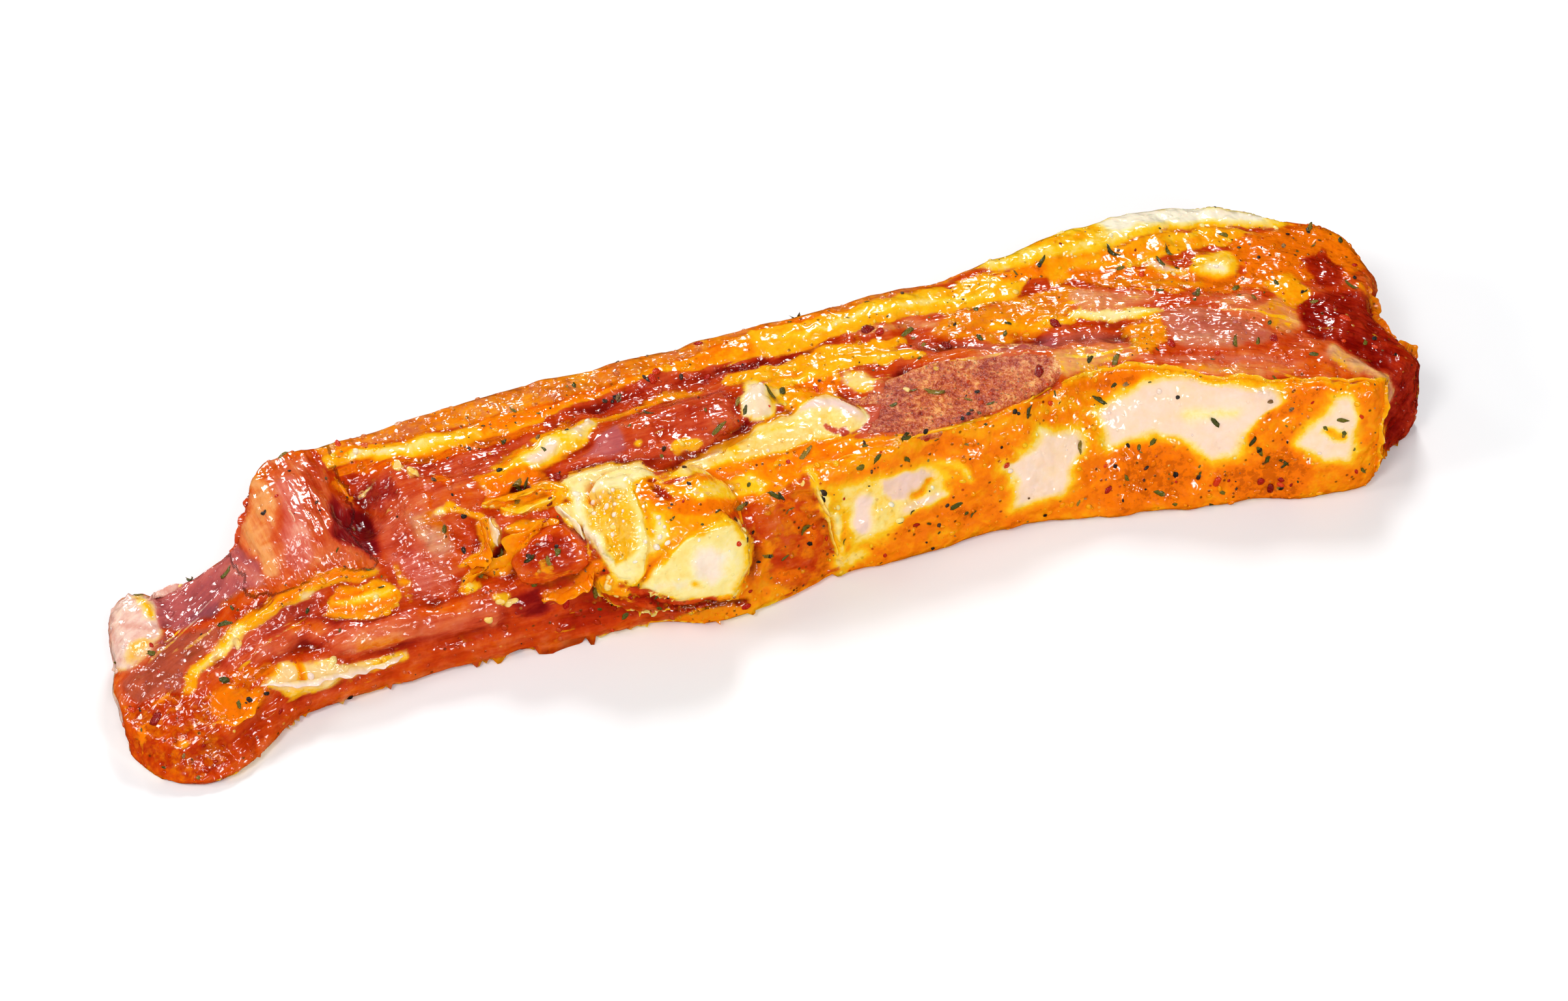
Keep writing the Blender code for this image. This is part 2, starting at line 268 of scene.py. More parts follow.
area("-10 61.5, 0 62.2, 10 61.2, 22 59.8, 22 54.6, 10 55.8, 0 54.2, -10 55.2",
     fat=1, pale=0.15, marinade=0.3, rise=0.3)
area("10 61, 25 60.8, 40 60, 46 56, 42 53.4, 28 54, 20 54.8, 10 57",
     fat=1, pale=0.25, marinade=0.27, rise=0.4)
stroke("-4 58 0.6, 12 58.6 0.6, 28 57 0.7, 38 55.6 0.5", pale=0.45, marinade=0.14)
stroke("0 55.6 0.5, 16 56.4 0.5, 30 54.6 0.5", marinade=0.3)
stroke("42 58.8 1.2, 50 58 2, 60 57 2.4", fat=0.9, marinade=0.66)

# dark glinting strip
stroke("-50 54.8 0.8, -44 54.4 1.5, -36 54.8 2, -30 55.2 2.1, -20 54.6 2, -10 54.2 1.3, 0 53.2 0.7",
       fat=0, dark=0.5, marinade=0.24, wet=1, rise=-0.6)
stroke("-40 54 0.9, -30 57.4 0.6", dark=0.66, marinade=0.2)
stroke("9 55 0.5, 14 54 1, 20 52.6 1.3, 28 50.8 0.9, 34 49 0.5",
       fat=0.35, pale=0.5, dark=0.12, marinade=0.14, wet=1, rise=-0.3)
area("28 53.6, 40 53, 52 52.6, 57 50, 50 45.5, 44 42.6, 36 42.6, 30 45, 24 49",
     fat=0.45, dark=0.2, marinade=0.42, rise=0.3)
stroke("35 47 0.8, 42 45.4 1, 50 43.6 0.9", fat=1, pale=0.2, marinade=0.34, rise=0.3)
stroke("42 52.6 0.5, 52 51.6 0.4", fat=0.6, dark=0.3, marinade=0.4, rise=-0.4)

# fat lens, muscle lens, fat blob
area("-69 43, -59.4 48, -51.9 50.8, -43.8 51, -44.6 48.6, -50.6 45, -59.4 42.2",
     fat=1, pale=0.35, marinade=0.22, rise=1, edge=2)
stroke("-58.3 44.8 1.2, -53 46.8 1.3", pale=0.75, marinade=0.02)
stroke("-48.6 49 0.9, -44.8 49.6 0.6", pale=0.75, marinade=0.03)
stroke("-64 42.6 0.9, -57 42.8 0.6, -50 44.6 0.5, -45 47.8 0.5", marinade=0.42)
stroke("-66 45.6 0.5, -57 49.4 0.4, -50 51.4 0.5", fat=0.8, marinade=0.45, rise=-0.5)
stroke("-44 50.7 0.8, -36 50.6 0.9, -30 51.4 1.1, -23 51 0.6", fat=0.7, marinade=0.42, rise=0.3)
area("-57 41.2, -50 44.2, -46 46.8, -40 48.8, -30 50, -20 49.6, -18 46, -19 40, -20.6 37.3, -28 36.7, "
     "-39.4 37.3, -46 39.6", fat=0, dark=0.44, marinade=0.2, rise=1, edge=2.4)
area("-50.5 42.4, -46 46, -40.6 48, -40.6 42, -46 40.8", pale=0.9, dark=0.56, marinade=0)
area("-40 48.4, -30 49.6, -28 43, -30 38.6, -40 38.2", dark=0.5, marinade=0.25)
area("-29 49.4, -20 49.2, -18.6 43, -21 38.2, -27 38.2, -30 43", dark=0.56, marinade=0.2)
stroke("-31.5 38.8 1.3, -28.8 38.2 1.4", fat=1, pale=0.3, marinade=0.35, rise=0.7)
stroke("-38.6 42.2 0.7", fat=1, pale=0.3, marinade=0.3, rise=0.3)
area("-70 44, -60 44, -57 41.4, -60 39, -70 39", fat=0.9, pale=0, marinade=0.62, rise=0.5)

# white knob, and the fat round it
stroke("-17.5 51 1.2, -8 51.8 1.6, 0 51.8 1.6, 10 51 1.2, 17 49.4 0.6",
       fat=1, pale=0.15, marinade=0.34, rise=0.3)
area("-11 49.6, 2 49.8, 3 45, 0 41.6, -9 41", fat=0.85, pale=0.3, marinade=0.36)
area("-17.8 41, -17.2 45, -14.8 49.4, -12 50, -10.4 47, -10.6 42.8, -12 40.4, -15 39.6",
     fat=1, pale=0.62, marinade=0.02, rise=1.4, edge=2.6)
stroke("-11.4 49 0.8, -10.4 46 1.2, -11.4 42 0.8", pale=0.3, marinade=0.18)
stroke("-10.8 47.4 0.5", rise=0.6, edge=1)
stroke("-9.4 46 0.5", pale=0.6, marinade=0.1, rise=0.6, edge=1)
stroke("-9.6 43.8 0.6", pale=0.6, marinade=0.1, rise=0.6, edge=1)
stroke("-11.6 44.4 0.5", rise=0.5, edge=0.9)
stroke("-10.8 42 0.5", pale=0.5, marinade=0.15, rise=0.6, edge=1)
stroke("-7 47.6 0.9, -3 47.2 1", pale=0.3, marinade=0.2, rise=0.3)
stroke("-5 45.4 0.9, 0 44 1.4, 1.5 42.6 0.8", marinade=0.9)
area("-2 48.4, 4 50.2, 12 49.6, 18 47, 21.3 44.7, 15 45, 8 46.2, 2 46",
     fat=1, pale=0.2, marinade=0.3, rise=0.5)
stroke("4 47.2 0.3, 12 46.9 0.3, 18 45.6 0.3", marinade=0.28, rise=-0.3)
area("2.4 44, 4.5 45.6, 8 44.6, 9.6 41, 7 39.4, 4 41.2", fat=0.7, pale=0.6, dark=0.15, marinade=0.12)

# cream band with the crevice above it
area("-36 33.6, -30 35.3, -25 36.3, -17.5 37.9, -10.6 40.2, -5 41.6, -1 42, 2 39.4, 4.6 35.2, 4.8 32.4, "
     "0 31.3, -12 31, -22 31, -34 31.4", fat=1, pale=0.58, marinade=0.14, wet=0.3, rise=1.5, edge=2.2)
stroke("-7 39.6 0.8, -1 37.6 1.5, 3.2 33.6 0.8", pale=0.85, marinade=0)
stroke("-29 34 0.8, -25.4 34.2 1.2", pale=0.75, marinade=0.02)
stroke("-22.6 33.8 1.3", pale=0.1, marinade=0.3)
stroke("-18 35.6 0.4, -8 36.6 0.4", pale=0.3, marinade=0.22)
# the crevice: a real groove, its dark red-black painted shade
stroke("-25 37.9 0.3, -21 38.6 0.4, -18.4 39.4 0.6, -17 40.6 0.4",
       fat=0, dark=0.85, marinade=0.3, rise=-1.6)
stroke("-4.2 33.4 0.5, -1 31.9 0.6", fat=0, dark=0.5, marinade=0.1, soft=0.7)
stroke("-40 34 1.2, -34 34.2 1", fat=0.5, dark=0.4, marinade=0.3)
area("-41 30.6, -20 30.6, -14 31, 0 31, 8 28, -2 25, -12 24, -19 21.8, -30 21.4, -41 21.4",
     fat=0.85, pale=0.1, marinade=0.54)
stroke("-38 29.8 0.7, -20 30.2 0.8, -8 30 1.2, 0 28.5 1.2, 8 26.6 1",
       fat=1, pale=0, marinade=0.48, rise=0.3)
area("-37 28.6, -20 28.8, -18.2 26, -20.6 22.8, -27 23.8, -32 26", fat=0.75, pale=0.5, marinade=0.2)
area("-40 26.5, -33 25.6, -30 24, -31 22, -40 22", fat=0.8, marinade=0.86)

# torn meat left of the cartilage
area("-58 34, -54.6 33, -54.2 26, -57 27", fat=1, pale=0.45, marinade=0.1, rise=0.8)
stroke("-69.5 38 0.9, -64 37.8 1.2, -58 38.4 1.3, -55 35.6 1.4", fat=1, pale=0.2, marinade=0.36, rise=1)
stroke("-67 35.6 0.9, -62 34.6 1, -57 35.4 1.2", fat=1, pale=0.4, marinade=0.4, rise=0.8)
area("-69.4 31.4, -66 33, -61 31.4, -61.5 29.6, -66 28.8", fat=0.7, pale=0.3, marinade=0.4, rise=0.4)
stroke("-76.5 39 0.8, -75 37.8 0.6, -72.4 35.8 0.6", fat=1, marinade=0.42, rise=0.5)
stroke("-72.4 33.8 1.1, -71.8 29.5 1.4, -73.6 26.5 1.2, -78.5 25 0.6",
       fat=0.95, pale=0.1, marinade=0.46, rise=1.4)
stroke("-70.4 33.5 0.5, -70.5 28.4 0.6", fat=1, pale=0.6, marinade=0.1, rise=0.6)
# gaps between the torn flaps: real grooves, painted near black as shade
stroke("-73.4 24.8 0.5, -70.4 25.8 0.8, -69 27.4 0.5", fat=0, dark=1, marinade=0.1, rise=-2.2)
stroke("-65 39.8 0.8, -61.6 39 0.8", fat=0, dark=1, marinade=0.1, rise=-1.6)
area("-70 23.6, -66.5 27.4, -61 29.5, -57 28, -55 24, -54.6 18, -58 16, -64 16.5, -69 18",
     fat=0.1, dark=0.5, marinade=0.42, rise=1.6, edge=1.4)
area("-66 25, -61 27, -57.6 24, -58 19.6, -63 19, -67 21", dark=0.72, marinade=0.36)
stroke("-79.5 20 0.9, -76 22.8 1, -71 22.8 0.8, -67.6 26.2 0.7, -63 29.2 0.5",
       fat=1, pale=0.1, marinade=0.4, rise=0.9)
stroke("-78.4 20.4 1.1, -77 19.4 0.7", fat=1, pale=0.5, marinade=0.15, rise=0.6)
stroke("-66.5 13.6 1, -62 12.6 1.4, -58.4 14.6 1.7, -55.5 16.8 1.2",
       fat=0.6, pale=0.2, marinade=0.62, rise=1.2)
stroke("-63 10.6 0.6, -62.6 11.6 0.9", fat=0, dark=0.3, marinade=0.8)
stroke("-55 12.4 1.5", fat=1, pale=0.2, marinade=0.3, rise=1)
area("-60 12, -52 9, -50 4, -60 3, -66 6", fat=0.1, dark=0.6, marinade=0.4)
stroke("-74 15.6 1.6", fat=1, pale=0.4, marinade=0.25, rise=1)
stroke("-77.2 11.6 1.2", fat=1, pale=0.1, marinade=0.35, rise=0.9)
area("-73 15, -66.5 15.4, -66 10, -71 9.6", fat=0, dark=0.8, marinade=0.15)

# meat right of the hollow
area("-91.5 42, -86 41, -82 36, -80 28, -82 20, -90 21, -92 30, -89.6 37", fat=0, dark=0.42, marinade=0.12)
area("-90.4 31.4, -85 32, -83.6 27, -86 22.6, -89.6 24", dark=0.34, marinade=0)
area("-84.5 41, -79.6 40, -78 34, -78.6 29, -82.6 29, -84 34",
     fat=0.2, pale=0.8, dark=0.25, marinade=0.12, rise=0.5)
stroke("-79.4 44 1, -81 38 0.6, -77 31 1.2, -79 26.4 0.8", marinade=0.4)
stroke("-82.2 52.4 0.8, -81.8 51.6 0.8", fat=1, pale=0.3, marinade=0.2, rise=0.5)
stroke("-79.7 49.7 0.8", fat=1, pale=0.4, marinade=0.1, rise=0.5)
stroke("-75.6 46 1, -74.8 44.8 0.7", dark=0.2, marinade=0.95)
stroke("-78.6 38.6 0.9", fat=1, pale=0.7, marinade=0.1, rise=0.5)

# muscle lobe and the hollow beside it
area("-105.5 64.5, -112.4 58, -112.4 55, -110 54, -113 51, -115 47.5, -118.8 42, -112 33, -106 30.5, "
     "-97 31, -92.8 32.5, -96 37, -97.6 42, -95.4 50, -94.2 57.5, -97 63.5",
     fat=0, dark=0.34, marinade=0.22, rind=0, wet=0.3)
stroke("-107.4 57 1.6, -109 50 2.2, -111 43 2.2, -111 36 1.6", dark=0.08, marinade=0.2)
stroke("-103 54 2.4, -103.5 46 2.9, -104 38 3", dark=0.3, marinade=0)
stroke("-104.6 42 1.6, -104.6 36 1.8", dark=0.36, marinade=0)
stroke("-97.6 56 1.9, -98.2 48 1.7, -99.6 40 1.4", dark=0.48, marinade=0.26)
stroke("-109 60 1, -106 58.4 1.4, -103.6 59.4 0.8", fat=0.3, dark=0.35, marinade=0.4)
stroke("-100 61.6 1.4, -96.6 60 1.8", dark=0.42, marinade=0.5)
stroke("-111 57 1.2, -112 60 1", dark=0.5, marinade=0.6)
stroke("-118 42.4 0.9, -114.6 47 0.9, -112.8 50.5 0.7", dark=0.6, marinade=0)
stroke("-112 32.4 1.2, -104 31.4 1.2, -95 32 1", dark=0.3, marinade=0.35)
# the hollow: a real recess, painted dark red, partly the meat's own colour and partly painted shade
area("-95 49.8, -96.5 45, -97.6 40, -95.6 36.3, -92.2 32, -89.6 37.5, -91.3 42.5, -93.6 47",
     fat=0, dark=0.84, marinade=0, wet=0, rise=-1.2, edge=2.4)
stroke("-94 52.4 0.6, -93.6 50.4 0.5", fat=0.7, marinade=0.5)

# purple wet meat at the far left
area("-133.4 35, -131 38.5, -128 41.4, -120 41, -115 46, -112.6 38, -114 33, -122 30, -130 28.5, "
     "-133 30", fat=0, pale=0.95, dark=0.5, marinade=0.02, wet=0.8)
stroke("-126 30.6 1.6, -121 31.4 1.2", dark=0.8)
stroke("-116 38 1.6, -114 34.6 1.2", pale=0.8, dark=0.3, marinade=0.03)
stroke("-128.8 41 0.9", fat=1, pale=0.8, marinade=0, rise=0.6)
area("-134 28, -124 27.4, -122 25, -128 20, -133 14, -140 13, -141.6 20, -136 23",
     fat=0, pale=0.9, dark=0.58, marinade=0.2, wet=0.9)
stroke("-120 31 1.4, -114 31.4 1.2", fat=0.2, dark=0.35, marinade=0.35)

# flank strips
area("-124 24.4, -116 26, -108 27.6, -103 26.6, -108 22, -116 20.6, -124 17, -128 17",
     fat=0, dark=0.5, marinade=0.1, rise=-0.4)
area("-126 18, -116 21, -113 17, -116 14, -126 13.6", fat=0, dark=0.5, marinade=0.2)
stroke("-94.6 29.6 1, -100 30 2, -106 29.4 2, -111 28.8 1.8, -116 26.6 1.6, -120.6 24.4 1.5, "
       "-125 21.4 1.4, -129.4 18 1.3, -132 15 1",
       fat=0.7, pale=0.2, dark=0.3, marinade=0.34, rise=0.5, edge=1.4)
stroke("-112 28.6 1, -104 30.6 1, -97 30.2 1", marinade=0.6)
stroke("-106.4 28.6 0.9, -104.6 28.2 0.8", pale=0.7, marinade=0.08)
stroke("-119 25 0.8, -129 18 0.7", pale=0.6, marinade=0.12)
area("-104.6 22.6, -100 27, -95 27.4, -90.4 23.4, -93 20.8, -98 19, -102 20",
     fat=1, pale=0.15, marinade=0.45, rise=0.4, edge=1.6)
stroke("-101.4 23.8 0.7, -97 24.6 0.9, -93 24 0.6", pale=0.6, marinade=0.12, soft=2.4)
stroke("-103 22.6 0.3, -97.6 22 0.35, -92 23 0.3", fat=0.8, dark=0.3, marinade=0.6, rise=-0.8)
stroke("-101 25 0.25, -96 25.6 0.25", marinade=0.85, rise=-0.5)
stroke("-90 29 0.9, -89 24 1.2, -90 20.6 0.7", fat=0.5, marinade=0.4)
stroke("-114 18.6 2.2, -109 20 3.4, -103 16.8 4, -95 15.4 4.2, -85 14.6 3.9, -77 13.2 3",
       fat=0, dark=0.46, marinade=0.15, wet=0.3, rise=1, edge=2.4)
stroke("-110 21.6 1.6, -106 19.8 1.4", dark=0.24, marinade=0.3)
stroke("-88 17.8 1.2, -81 17.2 1.2", dark=0.3, marinade=0.4)
stroke("-100 14 1.4, -94 13.4 1.2", dark=0.24, marinade=0.35)
area("-119.4 12, -116 15.4, -112.6 13.4, -109 12.8, -104 10.6, -97 9.8, -93 10, -94 8.6, -104 7.6, "
     "-110 6.6, -115 7.6", fat=0.85, pale=0.8, dark=0.15, marinade=0.1, rise=0.7)
stroke("-117 10 0.6, -110 7.4 0.5, -103 8.2 0.5, -95 9.2 0.5", pale=0.6, marinade=0.24)
stroke("-112.4 14 0.3, -112.4 11 0.3", marinade=0.8, rise=-0.8)
area("-125 16.4, -117 17, -116 14.8, -120 12.8, -125 13.4", fat=0.4, dark=0.4, marinade=0.7)
area("-129.6 12, -124 14, -120.2 11, -120.8 7.6, -126 4.2, -129.8 6",
     fat=0.6, pale=0.1, marinade=0.6, rise=0.5, soft=3)
area("-143 15, -146 5.6, -144 0, -144 -6, -138 -8, -128 -2, -129 7.5, -132.6 14.6",
     fat=0.25, pale=0.1, dark=0.6, marinade=0.58)
stroke("-134.8 3.4 1", fat=1, marinade=0.4, rise=0.4)
stroke("-138.4 10.4 0.9", fat=0, dark=0.3, marinade=0.9)

# fat knob
area("-141 41, -134 41, -132.4 36, -132.6 29, -135 25, -138.6 21.6, -143.4 26, -144 36",
     fat=0.6, pale=0.85, dark=0.06, marinade=0.01)
stroke("-138.6 39 1", rise=1.6, edge=1.8)
stroke("-135.4 38.2 1", rise=1.4, edge=1.8)
stroke("-137 34.8 1.2", rise=1.2, edge=1.8)
stroke("-140.6 33.8 1", rise=1.4, edge=1.8)
stroke("-134.4 32.6 0.9", rise=1.2, edge=1.7)
stroke("-138 29.8 1.1", rise=1.4, edge=1.8)
stroke("-135.4 27.6 0.9", rise=1.2, edge=1.7)
stroke("-139.6 25.6 0.8", rise=0.6, edge=1.3)
stroke("-138.6 32.4 0.3, -136 31.2 0.3, -134.2 29.6 0.3", fat=0.3, dark=0.1, rise=-1, edge=0.9)
stroke("-139.8 37 0.3, -137 36.8 0.3, -134.6 35.6 0.3", fat=0.4, dark=0.1, rise=-1, edge=0.9)
stroke("-141.6 37 1.2, -142.4 30 1", fat=0.3, pale=0.6, dark=0.15, marinade=0)
stroke("-140.4 35.4 0.5, -141 31 0.4", fat=0.35, pale=0.9, dark=0.1, soft=1.6)
stroke("-136 27 1.2, -137.6 24.4 0.8", fat=0.75, dark=0.1, marinade=0.2)
stroke("-134.4 37 0.6, -133.6 33 0.5", pale=0.1, marinade=0.3)

# the meat between the cartilage and the membrane
area("-30 22.6, -20 23, -13.8 24.4, -12 20, -13.5 8, -14.5 1, -22 -3, -31 -3, -31.5 4, -29.4 8, -29 14",
     fat=0.4, pale=0.2, dark=0.42, marinade=0.46, rise=-0.6, edge=1.4)
area("-29 21, -23 22, -22 16, -25 12, -29 12", fat=0.1, dark=0.36, marinade=0.35, soft=3.5)
stroke("-20.6 21.6 0.7, -20.6 14 0.8, -21.6 8 0.7", fat=0.4, dark=0.35, marinade=0.4)
stroke("-17.6 21 0.9, -16.6 15 1.1, -17 9 0.9", fat=0, dark=0.34, marinade=0.72)
stroke("-27.4 11 0.8, -24 6 1.2, -19 3 1.2", fat=0, dark=0.5, marinade=0.4)
stroke("-25.6 3.4 0.9, -23 1.8 0.8", dark=0.3, marinade=0.85)
stroke("-24.6 13 0.7, -19 10.4 0.7", fat=0.3, pale=0.2, dark=0.4, marinade=0.35)
area("-36 3, -31 5, -26 0, -22 -4, -34 -6, -50 -4, -46 0", fat=0.9, pale=0.2, marinade=0.5)

# cartilage: cap, pool of marinade and the block under it
stroke("-54.6 13.4 0.8", fat=1, pale=0.2, marinade=0.4, rise=1)
stroke("-54.8 11 0.8, -52.6 9.8 0.9", fat=1, pale=0.2, marinade=0.45, rise=0.9)
area("-55 38.6, -50 40, -46 40, -40 38, -38 34, -42 31, -43.6 27, -44.4 24, -46 17, -48 14, -50 11.4, "
     "-53.4 13, -54.4 20, -54.8 28", fat=1, pale=0.45, marinade=0.06, rise=0.5)
area("-53 33, -50.1 34, -46.2 33.6, -44.9 31.9, -45.2 26.3, -46.6 21, -49.3 17.3, -52 16.4, -52.8 19.4, "
     "-53 24.5", pale=0, marinade=0.2, wet=2.2, rise=-0.6, edge=2.2, soft=1.4)
stroke("-50 28 1.5, -49.4 21 1.6", marinade=0.2, soft=2.4)
stroke("-54.2 34.6 0.6, -54.2 28 0.7, -53.8 22.9 0.7, -53.2 17.8 0.7",
       pale=0.6, marinade=0.03, wet=0.4, rise=0.7)
stroke("-53.9 38 0.9, -51.3 38.7 1, -48.5 38.8 1, -44 37.6 1, -40.4 36 0.8",
       pale=0.5, marinade=0.08, wet=0.4, rise=0.9)
area("-44 34, -38 34, -33 25, -29 20, -30 19, -36 18.4, -42 15, -47 12, -48.5 13, -46.4 17, -44.8 22",
     fat=1, pale=0.3, marinade=0.4)
stroke("-41.4 24 0.8, -42.6 20.6 1.2, -44.6 18 0.8", pale=0.5, marinade=0.1)
stroke("-41 30.4 1, -38.4 26.6 1.7, -34.6 24.7 1.6, -30.9 23 1.3, -26.8 22 1.1, -22.8 22.5 0.8",
       fat=0.8, marinade=0.8, soft=2.2)
stroke("-39 33 0.9, -37.8 30 1, -37.2 27.6 0.7", fat=0, dark=0.7, marinade=0.5, wet=1.5, rise=-0.5)
stroke("-42.9 35.4 0.4, -43.6 30.8 0.5, -44.3 25.9 0.6, -44.9 21.8 0.8, -46.3 17.3 0.9, -47.9 13.8 1.1, "
       "-49.8 12.1 1.1, -51.4 11.9 0.7", fat=1, pale=0.4, marinade=0.1, wet=0.5, rise=1.3, edge=0.9)
area("-49.8 10.1, -46.6 12.6, -42.1 15.6, -38.4 18, -34.8 19, -30.3 19.2, -26.6 18.2, -27 14, -29 7.8, "
     "-33.1 2.5, -34.3 1.4, -40.8 3.8, -45.7 5.2",
     fat=1, pale=0.45, marinade=0.1, wet=0.3, rise=0.3, edge=0.9, soft=1)
stroke("-46 8.4 1.2, -41 7.2 1.4", pale=0.6, marinade=0.05, soft=3)
area("-39.6 12.4, -37.4 15, -34.2 15, -32.1 12, -33.9 7.8, -37.9 6, -38.8 9.2",
     pale=0.7, marinade=0, soft=3.4)
stroke("-40 7.4 0.7", pale=0.1, marinade=0.34)
stroke("-36 18.6 0.6, -29 18.8 0.7, -28 13.2 0.6, -30 8.2 0.6, -34 2.8 0.5", marinade=0.28, rise=0.3)
stroke("-51.6 11 0.3, -47.2 13.2 0.3, -43.6 16.4 0.3, -41.6 17.6 0.3", marinade=0.4, rise=-0.6, edge=0.6)
# under the block's lower edge: a real groove, painted dark as the shadow the block casts
stroke("-51.2 8.4 0.5, -46 3.6 0.7, -40.9 2.1 0.8, -36.8 0.4 0.8, -33.4 -0.6 0.7",
       fat=0, dark=0.9, marinade=0.5, wet=0.2, rise=-1.8, edge=1.2)
stroke("-25 19.4 0.4, -25.8 13 0.5, -28.4 6 0.4", fat=0.3, dark=0.5, marinade=0.6, rise=-0.5, soft=0.6)
stroke("-25.4 12 0.6, -26.6 7.4 0.8, -29 4 0.7", fat=0.8, dark=0.3, marinade=0.5, rise=0.8)

# membrane over the rib
area("-10.8 25.4, 5 26.4, 30 26.6, 43.8 30, 50 30.2, 56.9 29, 65 24.6, 70 20.4, 75 19, 80 15.8, "
     "85 15.2, 93 12, 100.4 9.6, 95.2 1.3, 91.6 -3.8, 88 -11, 86 -14, 70 -14, 55 -12, 20 -6, 0 -5, "
     "-12 -2, -14.2 1.4", fat=1, pale=0.2, marinade=0.55, wet=0.7, rise=0.9, edge=0.9, soft=0.8)
area("-9 20.6, 0 19.8, 11 20, 13 15, 9 10.4, 0 8.6, -7 6, -11 5, -10 12", pale=0.5, marinade=0.15, soft=4)
stroke("-5 15 2.2, -6.4 10.6 2", pale=0.85, marinade=0, soft=2)
area("0 19, 9 19.6, 9.4 16, 4 13, 1 14", pale=1, marinade=0.02, soft=1.6)
stroke("3 11 1.3, 10 12 1", pale=0.85, marinade=0.04)
stroke("5 13.4 0.5, 8 15.4 0.4", marinade=0.55)
stroke("12 18.6 0.9, 15 17 1.2, 17 14 1", pale=0.4, marinade=0.2)
area("33 20.8, 40.2 19, 40.4 13.8, 34.6 8.6, 31.5 4.2, 20 3.6, 23 10.6, 22.4 15, 27.5 17",
     pale=0.82, marinade=0.02, wet=0.3, soft=4.2)
area("43.4 21.4, 55 24, 60.6 25, 66.9 23.2, 73.8 18.2, 80.8 15.4, 80 10, 71 5.8, 65 2.2, 60 2.6, "
     "57.6 8.8, 51 12, 43.4 11.6", pale=0.82, marinade=0.02, wet=0.3, soft=4.2)
stroke("62 14 1.5, 70 12 1", pale=0.55, marinade=0.1, soft=4)
area("88.8 10.2, 92.6 9, 93 5.4, 91 2.3, 87.5 -2.8, 85 -5.2, 80.4 -4, 77.3 0.6, 80 3.2, 85 6.2",
     pale=0.8, marinade=0.03, wet=0.3, soft=3.4)
stroke("84 1.2 0.7, 86.4 0.4 0.6", pale=0.2, marinade=0.45)
stroke("-8 23.6 1, 10 24.2 1.2, 28 24 1.3, 42 25 1.2", marinade=0.42)
stroke("11 21.6 0.8, 16 23.6 1.4, 20 21.4 1", marinade=0.78)
stroke("24.4 18 0.8, 24.8 15.6 0.9", marinade=0.68)
stroke("17.6 18 1, 19 13 1.4, 14 9 1.6", marinade=0.62)
stroke("-1 6.4 1.4, 8 6.4 2.4, 16 5.4 2.6, 19 1.4 1.6", marinade=0.6)
stroke("11 5.6 1.6, 14.6 6.4 1", marinade=0.86)
area("35 6, 41 10.6, 50 10.6, 57 7, 57 0, 52 -4, 40 -3, 34 1", marinade=0.74, soft=2.6)
area("41 4, 46 9, 53 8, 55 0, 48 -3, 42 -1", marinade=0.9, soft=3)
area("60 1, 66 -1, 76 1, 78 -6, 70 -9.6, 60 -8", marinade=0.84, soft=2.6)
stroke("63 -4.6 1.6, 69 -5 1.4", fat=0.5, dark=0.4, marinade=0.9)
stroke("78 8.6 1.4, 84 11.6 1.4, 88 12.4 0.8", marinade=0.72)
stroke("71 4.6 1, 76 8.4 1", marinade=0.66)
stroke("47 27.4 1.6, 52 26.4 2, 56 25.6 1", marinade=0.74)
stroke("-14 2 0.8, -11.4 14 0.9, -10.6 25 0.6", fat=1, pale=0.55, marinade=0.14, rise=0.5)
stroke("-12 3.6 1.4, -9 4 1.2", pale=0.5, marinade=0.16)
stroke("-10 25.2 0.4, 5 26 0.4, 30 26.4 0.4, 43.8 29.8 0.45, 50 30 0.45, 56.9 28.8 0.45, 65 24.4 0.45, "
       "70 20.2 0.45, 75 18.8 0.45, 80 15.6 0.5, 85 15 0.5, 93 11.9 0.5, 100 9.4 0.5",
       fat=1, pale=0.1, marinade=0.38, rise=0.5, edge=0.5, soft=0.8)
stroke("100 9.2 0.6, 95 1.3 0.8, 91.3 -3.8 0.9, 88 -10 1",
       fat=1, pale=0.05, marinade=0.6, rise=0.5, edge=0.8)

# the cut face behind the membrane
area("10 42, 15 44.4, 22.5 43, 27.5 41.8, 35 40.2, 40 39, 43.8 36, 43.8 33, 42 29, 36 27.2, 30 26.8, "
     "20 27.2, 11 26.8, 0.6 29.4, 5 33, 8.4 37", fat=0, dark=0.46, marinade=0.3)
stroke("4 32 2.4, 9 36 3, 14 40.6 2.6", dark=0.5, marinade=0.06, soft=4)
stroke("28 39.6 1.6, 37 37.6 2.2, 41 34.4 2", dark=0.44, marinade=0.1, soft=3)
stroke("8 29 1.4, 20 28.6 1.2", dark=0.58, marinade=0.2, soft=2.4)
stroke("17 35 3, 27 33.6 2.6", dark=0.42, marinade=0.45, soft=5)
area("43 37.6, 52 37.4, 56 34, 54 30.6, 44.4 30.6, 42.4 33", fat=0.45, pale=0.4, dark=0.25, marinade=0.2)
area("52 37, 60 33.6, 60 30, 54 30.4", fat=0.35, dark=0.25, marinade=0.22)
stroke("20 48 0.9, 25.6 45.4 1.3, 31 43 1, 36 41.4 1.3, 42 40.8 1.7, 48.8 38.9 1.5, 54 37.4 1.5, "
       "58 35.8 1.3", fat=0, pale=0.8, dark=0.42, marinade=0.12, rise=-0.5)
stroke("39 41.2 1.3, 44 40.8 1.2", dark=0.44, marinade=0)
stroke("24.4 46 0.8, 26.6 44.8 0.8", dark=0.66, marinade=0.3)
stroke("51 45 0.9, 56 43.2 1.5, 62 41 1.3, 67.5 39.4 0.5", fat=1, pale=0.45, marinade=0.08, rise=0.6)

